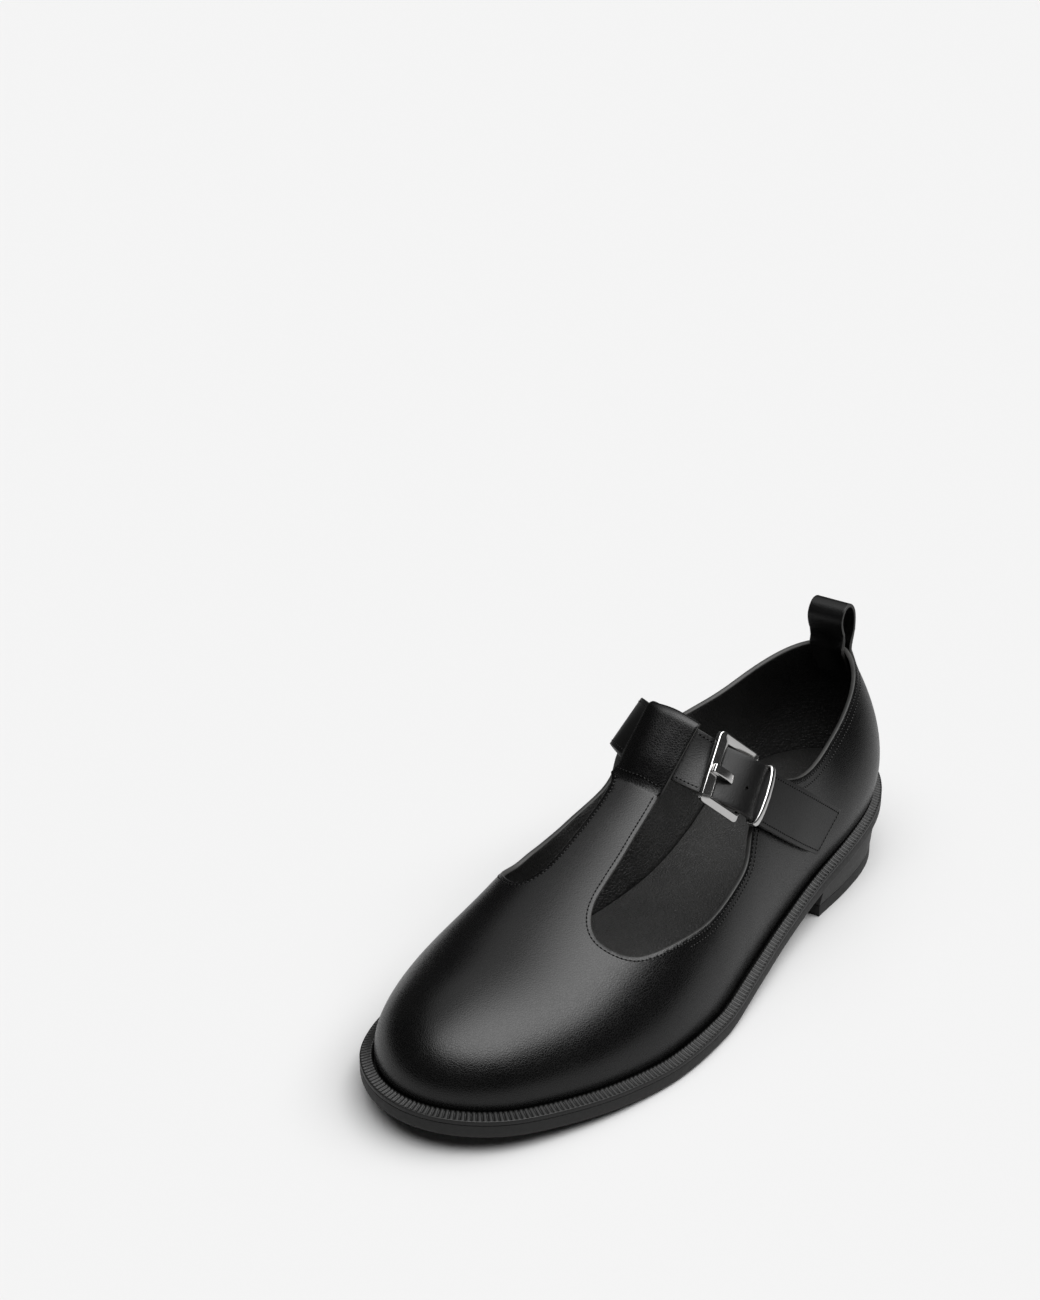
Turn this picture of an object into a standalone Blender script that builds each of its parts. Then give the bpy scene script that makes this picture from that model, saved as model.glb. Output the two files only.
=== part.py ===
import bpy
import bmesh
import numpy as np
from collections import namedtuple
from math import pi
from mathutils import Vector
from mathutils.bvhtree import BVHTree

# Left mary jane with a T-bar: toe towards -Y, outer side towards +X, standing on z = 0.
# Sizes are in metres. Tables are in millimetres and are read through MM.
MM = 0.001

# Driving sizes
SOLE_LENGTH = 0.272
OUTSOLE_THICK = 0.0046
WELT_THICK = 0.0021
WELT_SLOPE = 0.0007
WELT_SEAT = 0.0011
WELT_FOOT = 0.0004
WELT_RIBS = 440
RIB_DEPTH = 0.0004
UPPER_WALL = 0.0018
GAP = 0.0003
HEEL_BREAST = 0.0585
HEEL_TIP_THICK = 0.0042
HEEL_INSET = 0.0016
HEEL_TAPER = 0.0014
INSOLE_THICK = 0.0025
STRAP_WIDTH = 0.0195
STRAP_THICK = 0.0020
BUCKLE_BAR = 0.0027
BUCKLE_THICK = 0.0019
BUCKLE_CLEAR = 0.0009
BUCKLE_SIDE = 0.0006
BUCKLE_BRIM = 0.0004
BUCKLE_CORNER = 0.0022
BUCKLE_INNER_CORNER = 0.0006
HINGE_BAR = 0.0019
PRONG_WIDTH = 0.0022
PRONG_THICK = 0.0015
PRONG_SHIFT = -0.0010
PRONG_CLEAR = 0.0007
PRONG_TIP = 0.0030
PRONG_REST = 0.0035
PRONG_ROOT = -0.0018
KEEPER_WIDTH = 0.0026
KEEPER_THICK = 0.0012
KEEPER_SIDE = 0.0004
KEEPER_CROWN = 0.0011
PULL_WIDTH = 0.0147
PULL_THICK = 0.0013
PULL_FREE = 0.006
PULL_SEWN = 0.002
PULL_SET = 0.0006
PULL_SIDE = 0.0005

# Edge of the outsole from the underside up
Edge = namedtuple("Edge", "inset height")
OUTSOLE_EDGE = [Edge(1.2, 0.0), Edge(0.3, 0.8), Edge(0.0, 2.0), Edge(0.0, OUTSOLE_THICK / MM)]

# Outline of the sole by stations along its length: half axes of the ellipse that passes
# through the outer and the inner edge there, rise of the underside, width of the welt
Sole = namedtuple("Sole", "along outer inner rise welt")
SOLE = [
    Sole(0.00, 64.0, 67.0, 7.4, 5.0),
    Sole(0.05, 62.6, 65.5, 5.8, 5.0),
    Sole(0.10, 59.6, 61.8, 4.3, 5.0),
    Sole(0.20, 57.0, 55.4, 1.5, 5.0),
    Sole(0.30, 54.9, 46.9, -0.2, 5.0),
    Sole(0.40, 50.6, 36.6, -0.2, 4.8),
    Sole(0.50, 45.2, 28.2, 3.6, 4.5),
    Sole(0.60, 41.4, 25.6, 7.4, 4.2),
    Sole(0.70, 41.0, 30.2, 11.8, 4.3),
    Sole(0.80, 45.0, 40.8, 15.9, 4.5),
    Sole(0.90, 50.4, 49.0, 19.4, 4.5),
    Sole(1.00, 53.0, 53.0, 22.3, 4.5),
]

# Top line of the last: place along the shoe, height, shift to the outer side
Crest = namedtuple("Crest", "place height shift")
CREST = [
    Crest(-98, 41.5, -3.0),
    Crest(-80, 45.0, -5.0),
    Crest(-60, 51.5, -6.0),
    Crest(-44, 58.0, -5.5),
    Crest(-27, 65.5, -5.0),
    Crest(-10, 74.5, -4.0),
    Crest(0, 83.0, -3.5),
    Crest(10, 92.5, -3.0),
    Crest(22, 102.0, -2.0),
    Crest(45, 103.0, 0.0),
    Crest(75, 86.0, 0.0),
    Crest(112, 87.0, 0.0),
]

# Sections of the last: reach of its top from the middle, then the handles of the curve from
# the sole's edge to that top: wall upwards, swell outwards, roof outwards, fall downwards, and
# how far the inner side swells beyond the outer one
Section = namedtuple("Section", "along reach wall swell roof fall arch")
SECTIONS = [
    Section(0.00, 0, 17, 3, 16, 0, 0),
    Section(0.10, 0, 19, 3, 18, 0, 0),
    Section(0.20, 0, 22, 3, 22, 0, 0),
    Section(0.30, 0, 26, 2, 25, 0, 0),
    Section(0.40, 0, 31, 2, 24, 0, 4),
    Section(0.50, 0, 36, 2, 22, 0, 14.4),
    Section(0.60, 4, 34, 3, 18, 8, 10),
    Section(0.72, 14, 24, 6, 9, 25, 6.5),
    Section(0.85, 15, 23, 10, 7, 16, 0),
    Section(1.00, 11, 23, 7, 9, 15, 0),
]
ARCH_LOW = 0.45
ARCH_HIGH = 1.37
TOE_FAN = -0.055
TOE_BLEND = 0.469
HEEL_FAN = 0.060
HEEL_BLEND = 0.42

# Collar seen from the side: height on the outer and on the inner quarter
Collar = namedtuple("Collar", "place outer inner")
COLLAR = [
    Collar(26, 70.5, 76.0),
    Collar(31, 67.0, 72.8),
    Collar(38, 62.8, 68.8),
    Collar(47, 59.8, 65.4),
    Collar(57, 58.8, 63.9),
    Collar(69, 60.2, 64.5),
    Collar(81, 64.0, 66.5),
    Collar(93, 69.0, 70.0),
    Collar(106, 74.2, 74.2),
    Collar(114, 77.4, 77.2),
    Collar(120, 79.6, 79.6),
    Collar(140, 81.4, 81.4),
]
COLLAR_BLEND = 0.004

# Rims of the two cut-outs, run on under the strap: points on the last
Rim = namedtuple("Rim", "across place height")
OUTER_RIM = [
    Rim(9.4, -2.0, 78.0),
    Rim(8.8, -13.0, 69.8),
    Rim(10.2, -32.0, 59.9),
    Rim(12.6, -53.6, 50.2),
    Rim(20.0, -61.6, 43.8),
    Rim(30.5, -55.5, 38.2),
    Rim(36.0, -36.0, 37.0),
    Rim(36.9, -14.0, 38.5),
    Rim(35.0, 4.0, 44.6),
    Rim(31.2, 13.6, 55.6),
    Rim(27.0, 29.0, 70.0),
    Rim(17.0, 27.0, 88.0),
    Rim(10.6, 10.0, 88.0),
]
INNER_RIM = [
    Rim(-8.2, -2.0, 79.0),
    Rim(-8.2, -16.0, 70.6),
    Rim(-7.7, -34.0, 62.2),
    Rim(-9.4, -51.8, 54.5),
    Rim(-16.0, -58.4, 50.8),
    Rim(-25.0, -50.4, 46.0),
    Rim(-30.3, -40.0, 42.6),
    Rim(-31.2, -28.4, 44.0),
    Rim(-32.4, -10.0, 44.8),
    Rim(-31.2, 5.4, 49.0),
    Rim(-31.0, 15.6, 54.6),
    Rim(-29.9, 20.2, 64.2),
    Rim(-27.6, 32.0, 73.0),
    Rim(-22.0, 40.0, 84.0),
    Rim(-15.0, 24.0, 90.0),
    Rim(-9.4, 9.0, 89.0),
]
RIM_AXIS_HEIGHT = 0.022
RIM_CUT_IN = 0.010
RIM_CUT_OUT = 0.030

# Strap, from under the inner quarter to the tip: both edges of its middle surface
Band = namedtuple("Band", "low_x low_y low_z up_x up_y up_z")
STRAP = [
    Band(-23.0, 30.0, 52.5, -22.6, 43.5, 62.5),
    Band(-24.6, 19.5, 61.8, -23.6, 33.6, 71.8),
    Band(-20.4, 4.3, 75.8, -17.8, 17.0, 87.0),
    Band(-7.0, -5.3, 76.8, -6.2, 7.2, 92.4),
    Band(1.0, -6.3, 76.9, 2.2, 6.6, 92.6),
    Band(9.6, -5.0, 73.9, 10.8, 8.2, 89.2),
    Band(20.6, -2.8, 71.1, 17.8, 12.5, 83.5),
    Band(29.6, 3.6, 65.2, 27.2, 20.5, 77.4),
    Band(32.8, 11.6, 58.8, 30.2, 27.6, 69.8),
    Band(35.7, 30.0, 44.6, 34.4, 47.0, 55.0),
    Band(36.2, 44.6, 34.2, 36.4, 69.0, 38.9),
]
LOOP_FROM = 2.93
LOOP_TO = 4.97
LOOP_FOOT = -0.0034
LOOP_CUT_HALF = 0.0135
LOOP_CUT_REACH = 0.07
LOOP_CUT_DEPTH = 0.03
BUCKLE_END = 6.08
BUCKLE_HINGE = 7.22
KEEPER_AT = 7.84

# Bends of the prong where it passes through the strap
Bend = namedtuple("Bend", "along out")
PRONG_BENDS = [Bend(-1.0, 1.2), Bend(1.2, -2.0)]

# Loop that the end of the T-bar makes round the strap: section across the strap
Fold = namedtuple("Fold", "along out")
LOOP_OUTSIDE = [
    Fold(-7.0, 2.3), Fold(-1.5, 2.6), Fold(3.0, 3.0), Fold(18.4, 3.0), Fold(20.6, 2.4), Fold(21.5, 0.9),
    Fold(21.5, -0.8), Fold(20.6, -2.2), Fold(18.4, -2.8), Fold(3.0, -2.8), Fold(-2.5, -1.3),
    Fold(-7.0, 0.7),
]
LOOP_INSIDE = [
    Fold(-0.35, 1.4), Fold(5.0, 1.4), Fold(12.0, 1.4), Fold(18.2, 1.4), Fold(19.6, 1.1), Fold(19.85, 0.5),
    Fold(19.85, -0.5), Fold(19.6, -1.1), Fold(18.2, -1.4), Fold(12.0, -1.4), Fold(5.0, -1.4),
    Fold(-0.35, -1.4),
]

# Pull loop at the back: distance behind the quarter's face and height over the collar
Pull = namedtuple("Pull", "behind over")
PULL = [
    Pull(-3.0, -14.0), Pull(-3.0, -8.0), Pull(-3.0, -2.5), Pull(-4.0, 2.5), Pull(-7.2, 7.5), Pull(-8.4, 12.2),
    Pull(-6.4, 16.2), Pull(-2.6, 16.8), Pull(0.6, 13.4), Pull(1.5, 7.5), Pull(1.15, 1.5), Pull(1.05, -3.0),
    Pull(1.05, -10.5),
]


def column(rows, name):
    return np.array([getattr(row, name) for row in rows], float)


def curve(rows, key, name, at):
    """Smooth curve through a table's rows."""
    x = column(rows, key)
    y = column(rows, name)
    slope = np.gradient(y, x)
    at = np.asarray(at, float)
    i = np.clip(np.searchsorted(x, at, side="right") - 1, 0, len(x) - 2)
    h = x[i + 1] - x[i]
    s = np.clip((at - x[i]) / h, 0, 1)
    start = (1 + 2 * s) * (1 - s) ** 2 * y[i] + s * (1 - s) ** 2 * h * slope[i]
    return start + s * s * (3 - 2 * s) * y[i + 1] + s * s * (s - 1) * h * slope[i + 1]


def through(points, at, closed=False):
    """Smooth curve through points, one unit of the parameter for each row."""
    p = np.asarray(points, float)
    n = len(p)
    at = np.asarray(at, float)
    i = np.floor(at).astype(int) if closed else np.clip(np.floor(at).astype(int), 0, n - 2)
    s = (at - i)[..., None]

    def pick(k):
        return p[k % n] if closed else p[np.clip(k, 0, n - 1)]

    a, b, c, d = pick(i - 1), pick(i), pick(i + 1), pick(i + 2)
    bend = 2 * a - 5 * b + 4 * c - d
    twist = 3 * b - a - 3 * c + d
    return 0.5 * (2 * b + (c - a) * s + bend * s ** 2 + twist * s ** 3)


def along_of(y):
    return np.clip(y / SOLE_LENGTH + 0.5, 0, 1)


def underside(y):
    return np.maximum(curve(SOLE, "along", "rise", along_of(y)), 0) * MM


def outline(angle):
    """Edge of the sole; angle 0 is the toe, pi the heel, the outer side comes first."""
    along = (1 - np.cos(angle)) / 2
    side = np.sin(angle)
    outer = curve(SOLE, "along", "outer", along)
    inner = curve(SOLE, "along", "inner", along)
    x = np.where(side >= 0, outer, inner) * side * MM
    return np.stack([x, -SOLE_LENGTH / 2 * np.cos(angle)], -1)


def inset_outline(angle, inset):
    step = 1e-4
    t = outline(angle + step) - outline(angle - step)
    t /= np.linalg.norm(t, axis=-1, keepdims=True)
    inward = np.stack([-t[..., 1], t[..., 0]], -1)
    return outline(angle) + inward * np.broadcast_to(inset, angle.shape)[..., None]


def welt_width(angle):
    return curve(SOLE, "along", "welt", (1 - np.cos(angle)) / 2) * MM


def spine(along):
    """Place along the shoe where a section reaches the last's top."""
    y = SOLE_LENGTH * (along - 0.5)
    front = SOLE_LENGTH / 2 + TOE_FAN
    a = (y - TOE_FAN) / front
    back = SOLE_LENGTH / 2 - HEEL_FAN
    b = (y - HEEL_FAN) / back
    toe = TOE_FAN + front * (a + TOE_BLEND * a * a)
    heel = HEEL_FAN + back * (b - HEEL_BLEND * b * b)
    return np.where(y < TOE_FAN, toe, np.where(y > HEEL_FAN, heel, y))


def last(angle, rise):
    """Outer face of the upper, from the sole's edge (rise 0) to the last's top (rise 1)."""
    along = (1 - np.cos(angle)) / 2
    foot = inset_outline(angle, welt_width(angle))
    low = underside(foot[..., 1]) + OUTSOLE_THICK + GAP
    y = spine(along)
    high = curve(CREST, "place", "height", y / MM) * MM
    pitch = curve(CREST, "place", "height", y / MM + 0.5) - curve(CREST, "place", "height", y / MM - 0.5)
    top = np.stack([curve(CREST, "place", "shift", y / MM) * MM, y], -1)
    sizes = [curve(SECTIONS, "along", name, along) * MM for name in Section._fields[1:]]
    reach, wall, swell, roof, fall, arch = sizes
    reach = np.maximum(reach, 0)
    arch = np.where(np.sin(angle) < 0, arch, 0)
    out = foot - top
    radius = np.linalg.norm(out, axis=-1)
    out = out / radius[..., None]
    closed = np.clip((0.58 - along) / 0.1, 0, 1)
    p0 = np.stack([radius, low])
    p1 = np.stack([radius + swell + ARCH_LOW * arch, low + wall])
    p2 = np.stack([reach + roof + ARCH_HIGH * arch, high - fall + closed * pitch * out[..., 1] * roof])
    p3 = np.stack([reach, high])
    v = rise
    p = (1 - v) ** 3 * p0 + 3 * v * (1 - v) ** 2 * p1 + 3 * v * v * (1 - v) * p2 + v ** 3 * p3
    return np.stack([top[..., 0] + out[..., 0] * p[0], top[..., 1] + out[..., 1] * p[0], p[1]], -1)


def even_angles(count):
    """Angles that divide the sole's edge into equal lengths."""
    fine = np.linspace(0, 2 * pi, 4001)
    p = outline(fine)
    length = np.concatenate([[0], np.cumsum(np.linalg.norm(np.diff(p, axis=0), axis=1))])
    return np.interp(np.arange(count) / count * length[-1], length, fine)


def ring(angle, inset, height):
    p = inset_outline(angle, inset)
    return np.column_stack([p, underside(p[:, 1]) + height])


scene_parts = bpy.data.collections.new("mary_jane_left")
scene_cutters = bpy.data.collections.new("cutters")


def start():
    for old in list(bpy.data.objects):
        bpy.data.objects.remove(old, do_unlink=True)
    bpy.context.scene.collection.children.link(scene_parts)
    bpy.context.scene.collection.children.link(scene_cutters)


def material(name, colour, roughness, metallic=0.0):
    made = bpy.data.materials.new(name)
    made.use_nodes = True
    shader = made.node_tree.nodes["Principled BSDF"]
    shader.inputs["Base Color"].default_value = (*colour, 1)
    shader.inputs["Roughness"].default_value = roughness
    shader.inputs["Metallic"].default_value = metallic
    return made


def solid(name, points, faces, look=None, cutter=False):
    mesh = bpy.data.meshes.new(name)
    mesh.from_pydata([tuple(map(float, p)) for p in points], [], faces)
    mesh.validate()
    body = bmesh.new()
    body.from_mesh(mesh)
    bmesh.ops.remove_doubles(body, verts=body.verts, dist=1e-6)
    bmesh.ops.recalc_face_normals(body, faces=body.faces)
    body.to_mesh(mesh)
    body.free()
    made = bpy.data.objects.new(name, mesh)
    (scene_cutters if cutter else scene_parts).objects.link(made)
    if cutter:
        made.hide_render = True
        made.display_type = "WIRE"
    if look:
        mesh.materials.append(look)
    return made


def apply_all(made):
    bpy.ops.object.select_all(action="DESELECT")
    bpy.context.view_layer.objects.active = made
    made.select_set(True)
    for modifier in list(made.modifiers):
        bpy.ops.object.modifier_apply(modifier=modifier.name)


def triangulate(made):
    body = bmesh.new()
    body.from_mesh(made.data)
    bmesh.ops.triangulate(body, faces=body.faces)
    body.to_mesh(made.data)
    body.free()


def boolean(made, other, operation="DIFFERENCE"):
    triangulate(made)
    triangulate(other)
    modifier = made.modifiers.new("cut", "BOOLEAN")
    modifier.operation = operation
    modifier.solver = "EXACT"
    modifier.object = other
    apply_all(made)


def band_faces(rings, count, closed_rings=True):
    """Quads between successive rings of the same count."""
    faces = []
    for r in range(rings - 1):
        for i in range(count if closed_rings else count - 1):
            j = (i + 1) % count
            faces.append((r * count + i, r * count + j, (r + 1) * count + j, (r + 1) * count + i))
    return faces


def strip_cap(first, count):
    """Cap of strips from the outer to the inner half of a ring that starts at the toe."""
    faces = []
    for i in range(count // 2):
        quad = [first + i, first + i + 1, first + (count - i - 1) % count, first + (count - i) % count]
        faces.append(tuple(dict.fromkeys(quad)))
    return faces


def lofted(name, rings, look):
    count = len(rings[0])
    faces = band_faces(len(rings), count) + strip_cap(0, count) + strip_cap((len(rings) - 1) * count, count)
    return solid(name, np.concatenate(rings), faces, look)


def zip_faces(fine, coarse, ratio, fine_first, coarse_first):
    """Triangles between a ring and another with one point for every few of its own."""
    faces = []
    for i in range(coarse):
        a = coarse_first + i
        b = coarse_first + (i + 1) % coarse
        for k in range(ratio):
            f = fine_first + i * ratio + k
            g = fine_first + (i * ratio + k + 1) % fine
            faces.append((a if k < ratio / 2 else b, f, g))
            if k == ratio // 2 - 1 or ratio == 1:
                faces.append((a, g, b))
    return faces


def make_outsole(look):
    angle = np.linspace(0, 2 * pi, 97)[:-1]
    rings = [ring(angle, edge.inset * MM, edge.height * MM) for edge in OUTSOLE_EDGE]
    return lofted("outsole", rings, look)


def make_welt(look):
    fine = 2 * WELT_RIBS
    coarse = WELT_RIBS // 4
    base = OUTSOLE_THICK + GAP
    many = even_angles(fine)
    middle = many[::2]
    few = many[::8]
    outer_top = ring(many, 0.0, base + WELT_THICK)
    outer_top[1::2, 2] -= RIB_DEPTH
    inner_top = ring(middle, welt_width(middle) - WELT_SEAT, base + WELT_THICK + WELT_SLOPE)
    outer_low = ring(few, 0.0, base)
    inner_low = ring(few, welt_width(few) - WELT_FOOT, base)
    points = np.concatenate([outer_top, inner_top, outer_low, inner_low])
    a, b, c, d = 0, fine, fine + WELT_RIBS, fine + WELT_RIBS + coarse
    faces = zip_faces(fine, WELT_RIBS, 2, a, b)
    faces += zip_faces(fine, coarse, 8, a, c)
    faces += zip_faces(WELT_RIBS, coarse, 4, b, d)
    faces += [(c + i, c + (i + 1) % coarse, d + (i + 1) % coarse, d + i) for i in range(coarse)]
    return solid("welt", points, faces, look)


def heel_ring(inset, height=None):
    """Outline of the heel from the outer end of its breast round the back to the inner one."""
    first = np.arccos(-HEEL_BREAST / (SOLE_LENGTH / 2))
    angle = np.linspace(first, 2 * pi - first, 29)
    p = inset_outline(angle, inset)
    p[[0, -1], 1] = HEEL_BREAST
    z = underside(p[:, 1]) - GAP if height is None else np.full(len(p), height)
    return np.column_stack([p, z])


def heel_solid(name, rings, look):
    count = len(rings[0])
    faces = band_faces(len(rings), count)
    for first in (0, (len(rings) - 1) * count):
        for i in range((count - 1) // 2):
            quad = [first + i, first + i + 1, first + count - 2 - i, first + count - 1 - i]
            faces.append(tuple(dict.fromkeys(quad)))
    return solid(name, np.concatenate(rings), faces, look)


def make_heel(look, tip_look):
    low = HEEL_INSET + HEEL_TAPER
    heel_solid("heel_tip", [heel_ring(low, 0.0), heel_ring(low, HEEL_TIP_THICK)], tip_look)
    block = [heel_ring(low, HEEL_TIP_THICK + GAP), heel_ring(HEEL_INSET)]
    heel_solid("heel_block", block, look)


def make_insole(look):
    angle = np.linspace(0, 2 * pi, 73)[:-1]
    clear = welt_width(angle) + UPPER_WALL + 2 * GAP
    base = OUTSOLE_THICK + GAP
    return lofted("insole", [ring(angle, clear, base), ring(angle, clear, base + INSOLE_THICK)], look)


def last_tree():
    angle, rise = np.meshgrid(np.linspace(0, 2 * pi, 361), np.linspace(0, 1, 81), indexing="ij")
    p = last(angle, rise)
    faces = band_faces(361, 81, False)
    return BVHTree.FromPolygons([Vector(q) for q in p.reshape(-1, 3)], faces)


def make_shell(look):
    columns, rows = 84, 14
    turns = np.linspace(0, 2 * pi, columns + 1)[:-1]
    angle, rise = np.meshgrid(turns, np.linspace(0, 1, rows), indexing="ij")
    p = last(angle, rise).reshape(-1, 3)
    faces = []
    for i in range(columns):
        j = (i + 1) % columns
        for r in range(rows - 1):
            faces.append((i * rows + r, j * rows + r, j * rows + r + 1, i * rows + r + 1))
    shell = solid("upper", p, faces, look)
    middle = Vector((0, 0, RIM_AXIS_HEIGHT))
    outward = sum(f.normal.dot(f.center - middle) * f.area for f in shell.data.polygons)
    if outward < 0:
        shell.data.flip_normals()
    thick = shell.modifiers.new("wall", "SOLIDIFY")
    thick.thickness = UPPER_WALL
    thick.offset = -1
    thick.use_even_offset = True
    apply_all(shell)
    return shell


def rim_cutter(name, rows, tree):
    """Cutter whose sides stand on a rim of the last, square to the shoe's length."""
    control = []
    for row in rows:
        hit = tree.find_nearest(Vector((row.across, row.place, row.height)) * MM)[0]
        control.append(hit)
    count = 4 * len(rows)
    rim = through(control, np.arange(count) / 4, closed=True)
    away = rim - np.column_stack([np.zeros(count), rim[:, 1], np.full(count, RIM_AXIS_HEIGHT)])
    away /= np.linalg.norm(away, axis=1, keepdims=True)
    points = np.concatenate([rim - away * RIM_CUT_IN, rim + away * RIM_CUT_OUT])
    mesh = bmesh.new()
    verts = [mesh.verts.new(p) for p in points]
    for i in range(count):
        j = (i + 1) % count
        mesh.faces.new([verts[i], verts[j], verts[count + j], verts[count + i]])
    mesh.edges.ensure_lookup_table()
    for offset in (0, count):
        edges = [mesh.edges.get((verts[offset + i], verts[offset + (i + 1) % count])) for i in range(count)]
        bmesh.ops.triangle_fill(mesh, use_beauty=True, use_dissolve=False, edges=edges)
    bmesh.ops.recalc_face_normals(mesh, faces=mesh.faces)
    data = bpy.data.meshes.new(name)
    mesh.to_mesh(data)
    mesh.free()
    made = bpy.data.objects.new(name, data)
    scene_cutters.objects.link(made)
    made.hide_render = True
    made.display_type = "WIRE"
    return made


def collar_cutter():
    """Cutter over the collar: the inner profile, a short blend in the middle, the outer profile."""
    place = np.linspace(COLLAR[0].place, COLLAR[-1].place, 40)
    above = [(140, 160), (4, 160), (12, 84)]
    points = []
    for x, name in ((-0.08, "inner"), (-COLLAR_BLEND, "inner"), (COLLAR_BLEND, "outer"), (0.08, "outer")):
        height = curve(COLLAR, "place", name, place)
        points += [(x, y * MM, z * MM) for y, z in [*zip(place, height), *above]]
    count = len(place) + len(above)
    faces = band_faces(4, count) + [tuple(range(count)), tuple(range(3 * count, 4 * count))]
    return solid("collar_cutter", points, faces, cutter=True)


def strap_frame(at):
    """Centre, direction, cross direction (low edge to high edge) and outward normal of the strap."""
    at = np.asarray(at, float)
    low = through(np.array([row[:3] for row in STRAP]) * MM, at)
    high = through(np.array([row[3:] for row in STRAP]) * MM, at)
    step = 0.01
    ahead = through(np.array([np.add(row[:3], row[3:]) / 2 for row in STRAP]) * MM, at + step)
    behind = through(np.array([np.add(row[:3], row[3:]) / 2 for row in STRAP]) * MM, at - step)
    centre = (low + high) / 2
    run = ahead - behind
    run /= np.linalg.norm(run, axis=-1, keepdims=True)
    cross = high - low
    cross -= run * np.sum(cross * run, axis=-1, keepdims=True) * 0.6
    cross /= np.linalg.norm(cross, axis=-1, keepdims=True)
    normal = np.cross(run, cross)
    normal /= np.linalg.norm(normal, axis=-1, keepdims=True)
    return centre, run, cross, normal


def on_strap(at, across, out):
    """Point over the strap: across from its low edge, out from its middle surface."""
    centre, run, cross, normal = strap_frame(at)
    across = np.asarray(across, float)[..., None]
    out = np.asarray(out, float)[..., None]
    return centre + cross * (across - STRAP_WIDTH / 2) + normal * out


def make_strap(look):
    count = 56
    at = np.linspace(0.0, len(STRAP) - 1, count)
    half = STRAP_THICK / 2
    corner = [(0.0, -half), (STRAP_WIDTH, -half), (STRAP_WIDTH, half), (0.0, half)]
    rings = [on_strap(at, np.full(count, a), np.full(count, o)) for a, o in corner]
    points = np.stack(rings, 1).reshape(-1, 3)
    end = 4 * (count - 1)
    faces = band_faces(count, 4) + [(0, 1, 2, 3), (end, end + 1, end + 2, end + 3)]
    return solid("ankle_strap", points, faces, look)


def ring_sweep(name, outside, inside, stations, look):
    """Closed band round the strap: the same section, with its opening, at each station."""
    count = len(outside)
    points = []
    for at in stations:
        for fold in list(outside) + list(inside):
            points.append(on_strap(np.array(at), fold.along * MM, fold.out * MM))
    faces = []
    block = 2 * count
    for r in range(len(stations) - 1):
        for part in (0, count):
            for i in range(count):
                j = (i + 1) % count
                a = r * block + part
                faces.append((a + i, a + j, a + block + j, a + block + i))
    for r in (0, len(stations) - 1):
        for i in range(count):
            j = (i + 1) % count
            a = r * block
            faces.append((a + i, a + j, a + count + j, a + count + i))
    return solid(name, points, faces, look)


def loop_end_cutter():
    """Cutter that ends the T-bar inside the sewn foot of its loop."""
    centre, run, cross, normal = strap_frame(np.array((LOOP_FROM + LOOP_TO) / 2))
    reach, depth = LOOP_CUT_REACH, LOOP_CUT_DEPTH
    points = []
    for side in (-LOOP_CUT_HALF, LOOP_CUT_HALF):
        for along, out in ((LOOP_FOOT, -depth), (reach, -depth), (reach, depth), (LOOP_FOOT, depth)):
            points.append(centre + run * side + cross * (along - STRAP_WIDTH / 2) + normal * out)
    faces = band_faces(2, 4) + [(0, 1, 2, 3), (4, 5, 6, 7)]
    return solid("loop_end_cutter", points, faces, cutter=True)


def make_upper(look):
    tree = last_tree()
    upper = make_shell(look)
    boolean(upper, collar_cutter())
    boolean(upper, rim_cutter("outer_rim_cutter", OUTER_RIM, tree))
    boolean(upper, rim_cutter("inner_rim_cutter", INNER_RIM, tree))
    boolean(upper, loop_end_cutter())
    loop = ring_sweep("t_bar_loop", LOOP_OUTSIDE, LOOP_INSIDE, np.linspace(LOOP_FROM, LOOP_TO, 9), None)
    scene_parts.objects.unlink(loop)
    scene_cutters.objects.link(loop)
    boolean(upper, loop, "UNION")
    bpy.data.objects.remove(loop, do_unlink=True)
    return upper, tree


def buckle_frame():
    """Origin and axes of the buckle: along the strap, across it, outwards."""
    lift = STRAP_THICK / 2 + GAP
    end = on_strap(np.array(BUCKLE_END), STRAP_WIDTH / 2, STRAP_THICK / 2 + BUCKLE_CLEAR + BUCKLE_THICK / 2)
    hinge = on_strap(np.array(BUCKLE_HINGE), STRAP_WIDTH / 2, -lift - HINGE_BAR / 2)
    along = hinge - end
    length = np.linalg.norm(along)
    along /= length
    cross = strap_frame(np.array((BUCKLE_END + BUCKLE_HINGE) / 2))[2]
    cross = cross - along * np.dot(cross, along)
    cross /= np.linalg.norm(cross)
    out = np.cross(along, cross)
    return (end + hinge) / 2, along, cross, out, length


def in_buckle(frame, a, b, c):
    origin, along, cross, out, length = frame
    return origin + along * a + cross * b + out * c


def rounded(half_a, low_a, half_b, radius):
    """Rounded rectangle from low_a to half_a along and half_b each way across."""
    corner = []
    centres = [(half_a - radius, half_b - radius, 0), (low_a + radius, half_b - radius, 1)]
    centres += [(low_a + radius, radius - half_b, 2), (half_a - radius, radius - half_b, 3)]
    for a, b, turn in centres:
        for k in range(4):
            t = (turn + k / 3) * pi / 2
            corner.append((a + radius * np.cos(t), b + radius * np.sin(t)))
    return corner


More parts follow.
